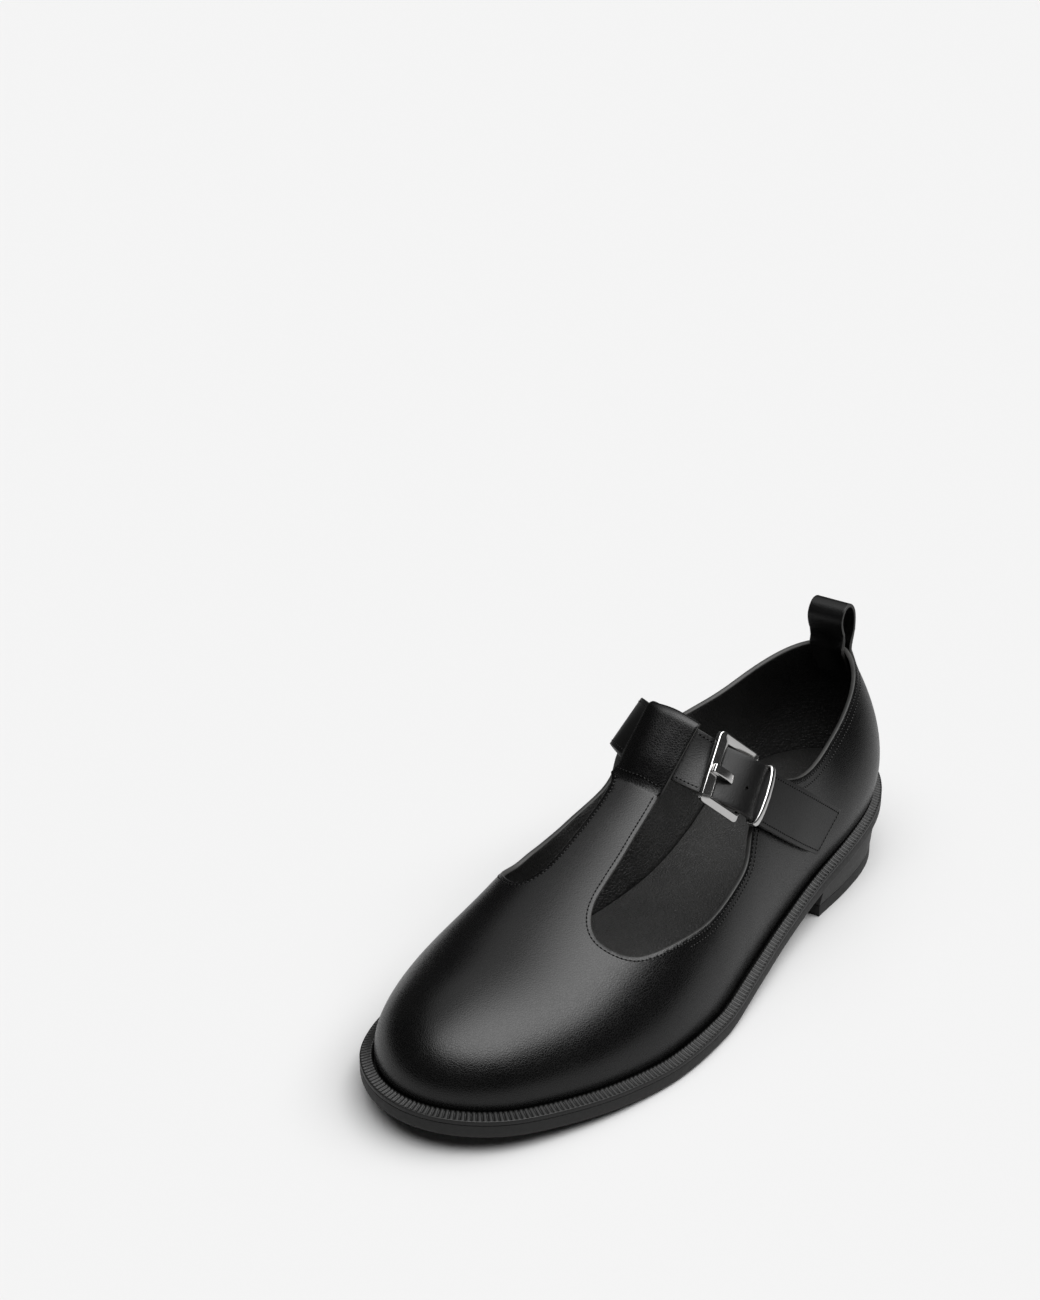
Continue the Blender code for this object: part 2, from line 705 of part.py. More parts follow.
def make_buckle(look):
    frame = buckle_frame()
    length = frame[4]
    inner_b = STRAP_WIDTH / 2 + BUCKLE_SIDE
    outer_b = inner_b + BUCKLE_BAR
    hinge = length / 2
    half_bar = BUCKLE_BAR / 2 + BUCKLE_BRIM
    outside = rounded(hinge + HINGE_BAR / 2, -hinge - half_bar, outer_b, BUCKLE_CORNER)
    inside = rounded(hinge - HINGE_BAR / 2, -hinge + half_bar, inner_b, BUCKLE_INNER_CORNER)
    half = BUCKLE_THICK / 2
    points = []
    for loop, c in ((outside, -half), (outside, half), (inside, half), (inside, -half)):
        points += [in_buckle(frame, a, b, c) for a, b in loop]
    count = len(outside)
    faces = band_faces(4, count)
    faces += [(3 * count + i, 3 * count + (i + 1) % count, (i + 1) % count, i) for i in range(count)]
    return solid("buckle_frame", points, faces, look)


def prong_path(length):
    """Middle line of the prong: over the end bar, through the strap, under it to the hinge bar."""
    over = BUCKLE_THICK / 2 + GAP + PRONG_THICK / 2
    path = [(-length / 2 - PRONG_TIP, over), (-length / 2 + PRONG_REST, over)]
    path += [(bend.along * MM, bend.out * MM) for bend in PRONG_BENDS]
    return path + [(length / 2 - HINGE_BAR / 2 - GAP, PRONG_ROOT)]


def prong_points(frame, width, thick):
    path = np.array(prong_path(frame[4]))
    points = []
    for k in range(len(path)):
        ahead = path[min(k + 1, len(path) - 1)] - path[max(k - 1, 0)]
        side = np.array([-ahead[1], ahead[0]]) / np.linalg.norm(ahead) * thick / 2
        for b, s in ((-width / 2, -1), (width / 2, -1), (width / 2, 1), (-width / 2, 1)):
            a, c = path[k] + side * s
            points.append(in_buckle(frame, a, b + PRONG_SHIFT, c))
    return points


def make_prong(look, strap):
    frame = buckle_frame()
    faces = band_faces(5, 4) + [(0, 1, 2, 3), (16, 17, 18, 19)]
    clear = prong_points(frame, PRONG_WIDTH + PRONG_CLEAR, PRONG_THICK + PRONG_CLEAR)
    boolean(strap, solid("prong_hole_cutter", clear, faces, cutter=True))
    return solid("buckle_prong", prong_points(frame, PRONG_WIDTH, PRONG_THICK), faces, look)


def make_keeper(look):
    half = (STRAP_THICK / 2 + GAP) / MM
    wide = STRAP_WIDTH / MM
    t = KEEPER_THICK / MM
    side = KEEPER_SIDE / MM
    crown = half + KEEPER_CROWN / MM
    quarters = (wide * 0.25, wide * 0.75)
    inside = [Fold(-side, half), *[Fold(q, crown) for q in quarters], Fold(wide + side, half)]
    inside += [Fold(wide + side, -half), *[Fold(q, -half) for q in quarters[::-1]], Fold(-side, -half)]
    outside = [Fold(-side - t, half + t / 2), *[Fold(q, crown + t) for q in quarters]]
    outside += [Fold(wide + side + t, half + t / 2), Fold(wide + side + t, -half - t)]
    outside += [*[Fold(q, -half - t) for q in quarters[::-1]], Fold(-side - t, -half - t)]
    step = strap_frame(np.array(KEEPER_AT + 0.5))[0] - strap_frame(np.array(KEEPER_AT - 0.5))[0]
    half_run = KEEPER_WIDTH / 2 / np.linalg.norm(step)
    return ring_sweep("buckle_keeper", outside, inside, [KEEPER_AT - half_run, KEEPER_AT + half_run], look)


def make_pull(look, tree):
    across = np.linspace(-PULL_WIDTH / 2, PULL_WIDTH / 2, 7) + PULL_SIDE
    collar = COLLAR[-2].outer * MM
    rows = through(np.array(PULL) * MM, np.linspace(0, len(PULL) - 1, 31))
    points = []
    for side in (-1, 1):
        for x in across:
            path = []
            for behind, over in rows:
                z = collar + min(over, -PULL_SEWN)
                hit, facing = tree.ray_cast(Vector((x, 0.2, z)), Vector((0, -1, 0)))[:2]
                middle = tree.ray_cast(Vector((0, 0.2, z)), Vector((0, -1, 0)))[0]
                free = np.clip(over / PULL_FREE, 0, 1)
                back = hit.y + behind / abs(facing.y)
                flat = middle.y + behind - PULL_SET
                path.append((back + (flat - back) * free, collar + over))
            path = np.array(path)
            t = np.gradient(path, axis=0)
            t /= np.linalg.norm(t, axis=1, keepdims=True)
            shift = np.column_stack([-t[:, 1], t[:, 0]]) * side * PULL_THICK / 2
            points += [(x, y, z) for y, z in path + shift]
    n, m = len(across), len(rows)
    faces = []
    for side in (0, n * m):
        for i in range(n - 1):
            for k in range(m - 1):
                a = side + i * m + k
                faces.append((a, a + 1, a + m + 1, a + m))
    for i in range(n - 1):
        for k in (0, m - 1):
            a = i * m + k
            faces.append((a, a + m, n * m + a + m, n * m + a))
    for i in (0, n - 1):
        for k in range(m - 1):
            a = i * m + k
            faces.append((a, a + 1, n * m + a + 1, n * m + a))
    return solid("pull_loop", points, faces, look)


def centre_parts():
    """Put the middle of the whole shoe's box over the origin."""
    corners = np.array([v.co for made in scene_parts.objects for v in made.data.vertices])
    middle = (corners.min(0) + corners.max(0)) / 2
    for made in scene_parts.objects:
        for v in made.data.vertices:
            v.co.x -= middle[0]
            v.co.y -= middle[1]
        made.data.update()


def main():
    start()
    leather = material("black_leather", (0.012, 0.012, 0.012), 0.38)
    make_outsole(material("outsole_rubber", (0.05, 0.05, 0.05), 0.7))
    make_welt(material("welt_rubber", (0.02, 0.02, 0.02), 0.6))
    heel_look = material("heel_rubber", (0.05, 0.05, 0.05), 0.6)
    make_heel(heel_look, material("heel_tip_rubber", (0.04, 0.04, 0.04), 0.7))
    make_insole(material("insole_leather", (0.02, 0.02, 0.02), 0.6))
    upper, tree = make_upper(leather)
    strap = make_strap(material("strap_leather", (0.012, 0.012, 0.012), 0.4))
    make_buckle(material("buckle_metal", (0.8, 0.8, 0.8), 0.15, 1.0))
    make_prong(material("prong_metal", (0.8, 0.8, 0.8), 0.15, 1.0), strap)
    make_keeper(material("keeper_metal", (0.8, 0.8, 0.8), 0.15, 1.0))
    make_pull(material("pull_leather", (0.012, 0.012, 0.012), 0.4), tree)
    centre_parts()


main()
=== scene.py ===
import bpy
import numpy as np
from math import pi, radians, sin, cos
from mathutils import Matrix, Vector
from mathutils.bvhtree import BVHTree
from mathutils.geometry import delaunay_2d_cdt
from mathutils.kdtree import KDTree


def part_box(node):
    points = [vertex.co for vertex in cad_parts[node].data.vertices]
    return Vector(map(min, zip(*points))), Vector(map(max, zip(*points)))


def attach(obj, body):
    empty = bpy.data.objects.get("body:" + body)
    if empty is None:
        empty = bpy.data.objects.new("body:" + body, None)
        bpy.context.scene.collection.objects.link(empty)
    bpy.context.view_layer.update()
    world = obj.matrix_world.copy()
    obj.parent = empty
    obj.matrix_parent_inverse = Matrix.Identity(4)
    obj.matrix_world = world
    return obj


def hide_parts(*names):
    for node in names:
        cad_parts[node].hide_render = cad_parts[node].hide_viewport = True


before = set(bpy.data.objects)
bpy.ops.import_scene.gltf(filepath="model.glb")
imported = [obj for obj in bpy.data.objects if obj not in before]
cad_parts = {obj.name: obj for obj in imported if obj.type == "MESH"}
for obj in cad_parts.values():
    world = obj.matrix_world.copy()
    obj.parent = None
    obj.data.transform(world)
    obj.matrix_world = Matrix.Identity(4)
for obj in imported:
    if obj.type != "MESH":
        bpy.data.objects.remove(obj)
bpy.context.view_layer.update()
bpy.ops.object.select_all(action="DESELECT")
scene = bpy.context.scene

mm = 0.001

# the last, in millimetres, toe to -y and outer side to +x
lastForm = {
    "length": 272.0,
    "outsoleThick": 4.6,
    "gap": 0.3,
    # along, outer half axis, inner half axis, rise, welt
    "sole": [
        (0.00, 64.0, 67.0, 7.4, 5.0), (0.05, 62.6, 65.5, 5.8, 5.0), (0.10, 59.6, 61.8, 4.3, 5.0),
        (0.20, 57.0, 55.4, 1.5, 5.0), (0.30, 54.9, 46.9, -0.2, 5.0), (0.40, 50.6, 36.6, -0.2, 4.8),
        (0.50, 45.2, 28.2, 3.6, 4.5), (0.60, 41.4, 25.6, 7.4, 4.2), (0.70, 41.0, 30.2, 11.8, 4.3),
        (0.80, 45.0, 40.8, 15.9, 4.5), (0.90, 50.4, 49.0, 19.4, 4.5), (1.00, 53.0, 53.0, 22.3, 4.5),
    ],
    # place, height, shift to the outer side
    "crest": [
        (-98, 41.5, -3.0), (-80, 45.0, -5.0), (-60, 51.5, -6.0), (-44, 58.0, -5.5), (-27, 65.5, -5.0),
        (-10, 74.5, -4.0), (0, 83.0, -3.5), (10, 92.5, -3.0), (22, 102.0, -2.0), (45, 103.0, 0.0),
        (75, 86.0, 0.0), (112, 87.0, 0.0),
    ],
    # along, reach, wall, swell, roof, fall, arch on the inner side
    "sections": [
        (0.00, 0, 17, 3, 16, 0, 0), (0.10, 0, 19, 3, 18, 0, 0), (0.20, 0, 22, 3, 22, 0, 0),
        (0.30, 0, 26, 2, 25, 0, 0), (0.40, 0, 31, 2, 24, 0, 4), (0.50, 0, 36, 2, 22, 0, 14.4),
        (0.60, 4, 34, 3, 18, 8, 10), (0.72, 14, 24, 6, 9, 25, 6.5), (0.85, 15, 23, 10, 7, 16, 0),
        (1.00, 11, 23, 7, 9, 15, 0),
    ],
    "archLow": 0.45, "archHigh": 1.37, "pitchStep": 0.5, "closedTo": 0.58, "closedBlend": 0.1,
    "toeFan": -55.0, "toeBlend": 0.469, "heelFan": 60.0, "heelBlend": 0.42,
}


def tableCurve(rows, col, at):
    table = np.array(rows, float)
    x, y = table[:, 0], table[:, col]
    slope = np.gradient(y, x)
    at = np.asarray(at, float)
    i = np.clip(np.searchsorted(x, at, side="right") - 1, 0, len(x) - 2)
    h = x[i + 1] - x[i]
    s = np.clip((at - x[i]) / h, 0, 1)
    start = (1 + 2 * s) * (1 - s) ** 2 * y[i] + s * (1 - s) ** 2 * h * slope[i]
    return start + s * s * (3 - 2 * s) * y[i + 1] + s * s * (s - 1) * h * slope[i + 1]


def smoothThrough(points, at):
    p = np.asarray(points, float)
    at = np.asarray(at, float)
    i = np.clip(np.floor(at).astype(int), 0, len(p) - 2)
    s = (at - i)[..., None]
    a, b, c, d = [p[np.clip(i + k, 0, len(p) - 1)] for k in (-1, 0, 1, 2)]
    return 0.5 * (2 * b + (c - a) * s + (2 * a - 5 * b + 4 * c - d) * s ** 2
                  + (3 * b - a - 3 * c + d) * s ** 3)


def unit(v):
    return v / np.maximum(np.linalg.norm(v, axis=-1, keepdims=True), 1e-12)


def soleAlong(y):
    return np.clip(y / lastForm["length"] + 0.5, 0, 1)


def underside(y):
    return np.maximum(tableCurve(lastForm["sole"], 3, soleAlong(y)), 0)


def outline(angle):
    along = (1 - np.cos(angle)) / 2
    side = np.sin(angle)
    outer = tableCurve(lastForm["sole"], 1, along)
    inner = tableCurve(lastForm["sole"], 2, along)
    return np.stack([np.where(side >= 0, outer, inner) * side, -lastForm["length"] / 2 * np.cos(angle)], -1)


def insetOutline(angle, inset):
    t = unit(outline(angle + 1e-4) - outline(angle - 1e-4))
    inward = np.stack([-t[..., 1], t[..., 0]], -1)
    return outline(angle) + inward * np.broadcast_to(inset, np.shape(angle))[..., None]


def weltWidth(angle):
    return tableCurve(lastForm["sole"], 4, (1 - np.cos(angle)) / 2)


def spine(along):
    half = lastForm["length"] / 2
    y = lastForm["length"] * (along - 0.5)
    a = (y - lastForm["toeFan"]) / (half + lastForm["toeFan"])
    b = (y - lastForm["heelFan"]) / (half - lastForm["heelFan"])
    toe = lastForm["toeFan"] + (half + lastForm["toeFan"]) * (a + lastForm["toeBlend"] * a * a)
    heel = lastForm["heelFan"] + (half - lastForm["heelFan"]) * (b - lastForm["heelBlend"] * b * b)
    return np.where(y < lastForm["toeFan"], toe, np.where(y > lastForm["heelFan"], heel, y))


def lastPoint(angle, rise):
    angle, rise = np.broadcast_arrays(np.asarray(angle, float), np.asarray(rise, float))
    along = (1 - np.cos(angle)) / 2
    foot = insetOutline(angle, weltWidth(angle))
    low = underside(foot[..., 1]) + lastForm["outsoleThick"] + lastForm["gap"]
    y = spine(along)
    high = tableCurve(lastForm["crest"], 1, y)
    behind = np.minimum(y + lastForm["pitchStep"], lastForm["crest"][-1][0])
    before = np.maximum(y - lastForm["pitchStep"], lastForm["crest"][0][0])
    pitch = tableCurve(lastForm["crest"], 1, behind) - tableCurve(lastForm["crest"], 1, before)
    pitch = pitch / (behind - before)
    top = np.stack([tableCurve(lastForm["crest"], 2, y), y], -1)
    reach, wall, swell, roof, fall, arch = [tableCurve(lastForm["sections"], k, along) for k in range(1, 7)]
    reach = np.maximum(reach, 0)
    arch = np.where(np.sin(angle) < 0, arch, 0)
    out = foot - top
    radius = np.linalg.norm(out, axis=-1)
    out = out / radius[..., None]
    closed = np.clip((lastForm["closedTo"] - along) / lastForm["closedBlend"], 0, 1)
    p0 = np.stack([radius, low])
    p1 = np.stack([radius + swell + lastForm["archLow"] * arch, low + wall])
    p2 = np.stack([reach + roof + lastForm["archHigh"] * arch,
                   high - fall + closed * pitch * out[..., 1] * roof])
    p3 = np.stack([reach, high])
    v = rise
    p = (1 - v) ** 3 * p0 + 3 * v * (1 - v) ** 2 * p1 + 3 * v * v * (1 - v) * p2 + v ** 3 * p3
    return np.stack([top[..., 0] + out[..., 0] * p[0], top[..., 1] + out[..., 1] * p[0], p[1]], -1)


def lastNormal(angle, rise):
    e = 2e-3
    a = lastPoint(angle + e, rise) - lastPoint(angle - e, rise)
    b = lastPoint(angle, np.minimum(rise + e, 1)) - lastPoint(angle, np.maximum(rise - e, 0))
    return unit(np.cross(a, b))


# where the CAD's frame puts the last
allRound = np.linspace(0, 2 * pi, 97)[:-1]
frameShift = np.array(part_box("outsole")[0]) / mm - np.append(outline(allRound).min(0), 0)
frameShift[2] = 0


def makePiece(name, points, faces, looks, faceLooks=None, node=None):
    mesh = bpy.data.meshes.new(name)
    mesh.from_pydata(((np.asarray(points) + frameShift) * mm).tolist(), [], faces)
    mesh.validate()
    for look in looks:
        mesh.materials.append(look)
    if faceLooks is not None:
        mesh.polygons.foreach_set("material_index", np.asarray(faceLooks, np.int32))
    mesh.polygons.foreach_set("use_smooth", [True] * len(mesh.polygons))
    piece = bpy.data.objects.new(name, mesh)
    scene.collection.objects.link(piece)
    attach(piece, "root")
    if node:
        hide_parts(node)
    return piece


def selectOnly(piece):
    bpy.ops.object.select_all(action="DESELECT")
    piece.select_set(True)
    bpy.context.view_layer.objects.active = piece


def faceOutwards(piece):
    selectOnly(piece)
    bpy.ops.object.mode_set(mode="EDIT")
    bpy.ops.mesh.select_all(action="SELECT")
    bpy.ops.mesh.normals_make_consistent(inside=False)
    bpy.ops.object.mode_set(mode="OBJECT")


def smoothByAngle(piece, degrees):
    selectOnly(piece)
    bpy.ops.object.shade_smooth_by_angle(angle=radians(degrees))


def softEdges(piece, width, segments, degrees):
    soften = piece.modifiers.new("soft edges", "BEVEL")
    soften.width, soften.segments = width * mm, segments
    soften.limit_method, soften.angle_limit = "ANGLE", radians(degrees)
    selectOnly(piece)
    bpy.ops.object.modifier_apply(modifier=soften.name)


# finishes
def newGroup(name, inputs, outputs):
    group = bpy.data.node_groups.new(name, "ShaderNodeTree")
    for socket, kind, value in inputs:
        made = group.interface.new_socket(name=socket, in_out="INPUT", socket_type=kind)
        if value is not None:
            made.default_value = value
    for socket, kind in outputs:
        group.interface.new_socket(name=socket, in_out="OUTPUT", socket_type=kind)
    return group, group.nodes.new("NodeGroupInput"), group.nodes.new("NodeGroupOutput")


def addNode(tree, kind, settings=None, values=None, **links):
    node = tree.nodes.new(kind)
    for key, value in (settings or {}).items():
        setattr(node, key, value)
    for key, value in (values or {}).items():
        node.inputs[key].default_value = value
    for key, source in links.items():
        socket = int(key[1:]) if key[0] == "i" and key[1:].isdigit() else key
        tree.links.new(source, node.inputs[socket])
    return node


def mathNode(tree, operation, a, b=None, clamp=False):
    node = tree.nodes.new("ShaderNodeMath")
    node.operation = operation
    node.use_clamp = clamp
    for k, value in enumerate((a, b)):
        if value is None:
            continue
        if isinstance(value, (int, float)):
            node.inputs[k].default_value = value
        else:
            tree.links.new(value, node.inputs[k])
    return node.outputs[0]


def remapNode(tree, value, fromLow, fromHigh, toLow, toHigh):
    node = tree.nodes.new("ShaderNodeMapRange")
    tree.links.new(value, node.inputs["Value"])
    for key, number in (("From Min", fromLow), ("From Max", fromHigh), ("To Min", toLow), ("To Max", toHigh)):
        node.inputs[key].default_value = number
    return node.outputs["Result"]


grainForm = {
    "warp": 260.0, "push": 0.0012, "creaseShare": 0.62, "creaseWidth": 0.16,
    "dome": 0.5, "fine": 3200.0, "fineShare": 0.25, "cloud": 38.0,
}


def noiseNode(tree, scale, detail, place):
    return addNode(tree, "ShaderNodeTexNoise", values={"Scale": scale, "Detail": detail}, Vector=place)


def leatherGrainGroup():
    form = grainForm
    group, given, out = newGroup(
        "leather grain",
        [("Vector", "NodeSocketVector", None), ("Cells", "NodeSocketFloat", 900.0),
         ("Pore", "NodeSocketFloat", 0.5)],
        [("Height", "NodeSocketFloat"), ("Cloud", "NodeSocketFloat")])
    place, scale = given.outputs["Vector"], given.outputs["Cells"]
    warp = noiseNode(group, form["warp"], 2.0, place)
    push = addNode(group, "ShaderNodeVectorMath", {"operation": "MULTIPLY_ADD"})
    group.links.new(warp.outputs["Color"], push.inputs[0])
    push.inputs[1].default_value = (form["push"],) * 3
    group.links.new(place, push.inputs[2])
    moved = push.outputs[0]
    cells = addNode(group, "ShaderNodeTexVoronoi", {"feature": "F1", "distance": "EUCLIDEAN"}, Vector=moved)
    group.links.new(scale, cells.inputs["Scale"])
    creases = addNode(group, "ShaderNodeTexVoronoi", {"feature": "DISTANCE_TO_EDGE"}, Vector=moved)
    group.links.new(mathNode(group, "MULTIPLY", scale, form["creaseShare"]), creases.inputs["Scale"])
    fine = noiseNode(group, form["fine"], 2.0, place)
    cloud = noiseNode(group, form["cloud"], 3.0, place)
    edge = remapNode(group, creases.outputs["Distance"], 0.0, form["creaseWidth"], 0.0, 1.0)
    dome = mathNode(group, "SUBTRACT", 1.0, cells.outputs["Distance"])
    body = mathNode(group, "ADD", mathNode(group, "MULTIPLY", dome, form["dome"]),
                    mathNode(group, "MULTIPLY", edge, given.outputs["Pore"]))
    total = mathNode(group, "ADD", body, mathNode(group, "MULTIPLY", fine.outputs["Fac"], form["fineShare"]))
    group.links.new(total, out.inputs["Height"])
    group.links.new(cloud.outputs["Fac"], out.inputs["Cloud"])
    return group


def startMaterial(name):
    made = bpy.data.materials.new(name)
    made.use_nodes = True
    tree = made.node_tree
    shader = tree.nodes["Principled BSDF"]
    place = tree.nodes.new("ShaderNodeTexCoord").outputs["Object"]
    return made, tree, shader, place


def colourBetween(tree, factor, low, high):
    ramp = tree.nodes.new("ShaderNodeValToRGB")
    ramp.color_ramp.elements[0].color = (*low, 1)
    ramp.color_ramp.elements[1].color = (*high, 1)
    tree.links.new(factor, ramp.inputs["Fac"])
    return ramp.outputs["Color"]


grain = leatherGrainGroup()


def leatherFinish(name, look):
    made, tree, shader, place = startMaterial(name)
    skin = tree.nodes.new("ShaderNodeGroup")
    skin.node_tree = grain
    tree.links.new(place, skin.inputs["Vector"])
    skin.inputs["Cells"].default_value = look["cells"]
    skin.inputs["Pore"].default_value = look["pore"]
    cloud = remapNode(tree, skin.outputs["Cloud"], 0.35, 0.65, 0.0, 1.0)
    tree.links.new(colourBetween(tree, cloud, look["dark"], look["light"]), shader.inputs["Base Color"])
    gloss = remapNode(tree, skin.outputs["Cloud"], 0.3, 0.7, *look["rough"])
    dull = remapNode(tree, skin.outputs["Height"], 0.45, 0.85, look.get("dull", 0.0), 0.0)
    tree.links.new(mathNode(tree, "ADD", gloss, dull), shader.inputs["Roughness"])
    relief = addNode(tree, "ShaderNodeBump", values={"Strength": look["bump"], "Distance": look["depth"]},
                     Height=skin.outputs["Height"])
    tree.links.new(relief.outputs["Normal"], shader.inputs["Normal"])
    return made


rubberForm = {
    "speck": 900.0, "cloud": 45.0, "roughSpread": 0.06, "streak": (6.0, 6.0, 900.0), "speckShare": 0.3,
    "bump": 0.22, "depth": 0.0002,
}


def rubberFinish(name, dark, light, rough, lines=0.0):
    form = rubberForm
    made, tree, shader, place = startMaterial(name)
    speck = noiseNode(tree, form["speck"], 4.0, place).outputs["Fac"]
    cloud = noiseNode(tree, form["cloud"], 3.0, place).outputs["Fac"]
    tree.links.new(colourBetween(tree, cloud, dark, light), shader.inputs["Base Color"])
    dull = remapNode(tree, speck, 0.3, 0.7, rough - form["roughSpread"], rough + form["roughSpread"])
    tree.links.new(dull, shader.inputs["Roughness"])
    height = speck
    if lines:
        turn = addNode(tree, "ShaderNodeMapping", {"vector_type": "POINT"}, Vector=place)
        turn.inputs["Scale"].default_value = form["streak"]
        streak = noiseNode(tree, 1.0, 3.0, turn.outputs["Vector"])
        height = mathNode(tree, "ADD", mathNode(tree, "MULTIPLY", speck, form["speckShare"]),
                          mathNode(tree, "MULTIPLY", streak.outputs["Fac"], lines))
    relief = addNode(tree, "ShaderNodeBump", values={"Strength": form["bump"], "Distance": form["depth"]},
                     Height=height)
    tree.links.new(relief.outputs["Normal"], shader.inputs["Normal"])
    return made


metalLook = {"wear": 700.0, "dark": (0.76, 0.75, 0.74), "light": (0.86, 0.855, 0.85), "rough": (0.13, 0.20)}


def metalFinish(name):
    made, tree, shader, place = startMaterial(name)
    shader.inputs["Metallic"].default_value = 1.0
    wear = noiseNode(tree, metalLook["wear"], 4.0, place).outputs["Fac"]
    tone = colourBetween(tree, wear, metalLook["dark"], metalLook["light"])
    tree.links.new(tone, shader.inputs["Base Color"])
    tree.links.new(remapNode(tree, wear, 0.3, 0.7, *metalLook["rough"]), shader.inputs["Roughness"])
    return made


finish = {
    "upper": leatherFinish("black calf leather", {
        "dark": (0.0018, 0.0018, 0.0019), "light": (0.0027, 0.0027, 0.0027), "rough": (0.17, 0.23),
        "cells": 2100.0, "pore": 0.45, "bump": 0.17, "depth": 0.0002, "dull": 0.14}),
    "strap": leatherFinish("strap leather", {
        "dark": (0.0018, 0.0018, 0.0019), "light": (0.0028, 0.0028, 0.0028), "rough": (0.29, 0.35),
        "cells": 2000.0, "pore": 0.45, "bump": 0.18, "depth": 0.0002, "dull": 0.12}),
    "lining": leatherFinish("grained lining", {
        "dark": (0.016, 0.016, 0.0155), "light": (0.026, 0.026, 0.025), "rough": (0.46, 0.58),
        "cells": 1300.0, "pore": 0.9, "bump": 0.6, "depth": 0.0005, "dull": 0.1}),
    "edge": leatherFinish("cut leather edge", {
        "dark": (0.030, 0.030, 0.0295), "light": (0.062, 0.061, 0.059), "rough": (0.42, 0.52),
        "cells": 2600.0, "pore": 0.3, "bump": 0.3, "depth": 0.0002}),
    "insole": leatherFinish("insole leather", {
        "dark": (0.0200, 0.0200, 0.0195), "light": (0.0310, 0.0307, 0.0297), "rough": (0.40, 0.52),
        "cells": 1700.0, "pore": 0.9, "bump": 0.5, "depth": 0.0005, "dull": 0.1}),
    "thread": leatherFinish("black thread", {
        "dark": (0.016, 0.016, 0.016), "light": (0.030, 0.030, 0.029), "rough": (0.42, 0.5),
        "cells": 3000.0, "pore": 0.3, "bump": 0.3, "depth": 0.0001}),
    # painted shade: dark, dull marks on the leather stand in for the shade inside the needle holes
    "holeShade": leatherFinish("painted needle-hole shade", {
        "dark": (0.0012, 0.0012, 0.0012), "light": (0.002, 0.002, 0.002), "rough": (0.9, 1.0),
        "cells": 3000.0, "pore": 0.3, "bump": 0.1, "depth": 0.0001}),
    "outsole": rubberFinish("outsole rubber", (0.0095, 0.0095, 0.0093), (0.0135, 0.0135, 0.013), 0.56),
    "welt": rubberFinish("welt rubber", (0.0050, 0.0050, 0.0049), (0.0075, 0.0075, 0.0073), 0.42),
    "heel": rubberFinish("heel rubber", (0.015, 0.015, 0.0146), (0.021, 0.021, 0.0204), 0.5, 0.9),
    "metal": metalFinish("bright nickel"),
}
# the painted needle-hole shade hardly reflects, so it reads as a dark hole
finish["holeShade"].node_tree.nodes["Principled BSDF"].inputs["Specular IOR Level"].default_value = 0.1
print("finishes ready")

# strap: both edges of its middle surface, from under the inner quarter to the tip
strapForm = {
    "width": 19.5, "thick": 2.0, "stations": 260, "across": 14, "round": 0.55,
    "edges": [
        (-23.0, 30.0, 52.5, -22.6, 43.5, 62.5), (-24.6, 19.5, 61.8, -23.6, 33.6, 71.8),
        (-20.4, 4.3, 75.8, -17.8, 17.0, 87.0), (-7.0, -5.3, 76.8, -6.2, 7.2, 92.4),
        (1.0, -6.3, 76.9, 2.2, 6.6, 92.6), (9.6, -5.0, 73.9, 10.8, 8.2, 89.2),
        (20.6, -2.8, 71.1, 17.8, 12.5, 83.5), (29.6, 3.6, 65.2, 27.2, 20.5, 77.4),
        (32.8, 11.6, 58.8, 30.2, 27.6, 69.8), (35.7, 30.0, 44.6, 34.4, 47.0, 55.0),
        (36.2, 44.6, 34.2, 36.4, 69.0, 38.9),
    ],
    "holes": [6.42, 7.02], "holeAcross": 8.7, "holeRadius": 0.6,
}


def strapFrame(at):
    edges = np.array(strapForm["edges"])
    middle = (edges[:, :3] + edges[:, 3:]) / 2
    low, high = smoothThrough(edges[:, :3], at), smoothThrough(edges[:, 3:], at)
    run = unit(smoothThrough(middle, np.asarray(at) + 0.01) - smoothThrough(middle, np.asarray(at) - 0.01))
    cross = high - low
    cross = unit(cross - run * np.sum(cross * run, axis=-1, keepdims=True) * 0.6)
    return (low + high) / 2, run, cross, unit(np.cross(run, cross))


def onStrap(at, across, out):
    centre, run, cross, normal = strapFrame(at)
    across, out = np.asarray(across, float)[..., None], np.asarray(out, float)[..., None]
    return centre + cross * (across - strapForm["width"] / 2) + normal * out


def gridNormals(p):
    return unit(np.cross(np.gradient(p, axis=0), np.gradient(p, axis=1)))


def leatherSheet(name, grid, form, looks, node):
    # a grid laid on the given points, thickened both ways, its cut edges rounded
    rows, cols = grid.shape[:2]
    bpy.ops.object.select_all(action="DESELECT")
    bpy.ops.mesh.primitive_grid_add(x_subdivisions=rows - 1, y_subdivisions=cols - 1, size=1)
    piece = bpy.context.object
    piece.name = piece.data.name = name
    for v in piece.data.vertices:
        i, j = round((v.co.x + 0.5) * (rows - 1)), round((v.co.y + 0.5) * (cols - 1))
        v.co = (grid[i, j] + frameShift) * mm
    for look in looks:
        piece.data.materials.append(look)
    wall = piece.modifiers.new("thickness", "SOLIDIFY")
    wall.thickness = form["thick"] * mm
    wall.offset = 0
    wall.use_even_offset = True
    wall.material_offset_rim = 1
    bpy.ops.object.modifier_apply(modifier=wall.name)
    softEdges(piece, form["round"], 4, 55)
    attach(piece, "root")
    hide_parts(node)
    faceOutwards(piece)
    smoothByAngle(piece, 50)
    return piece


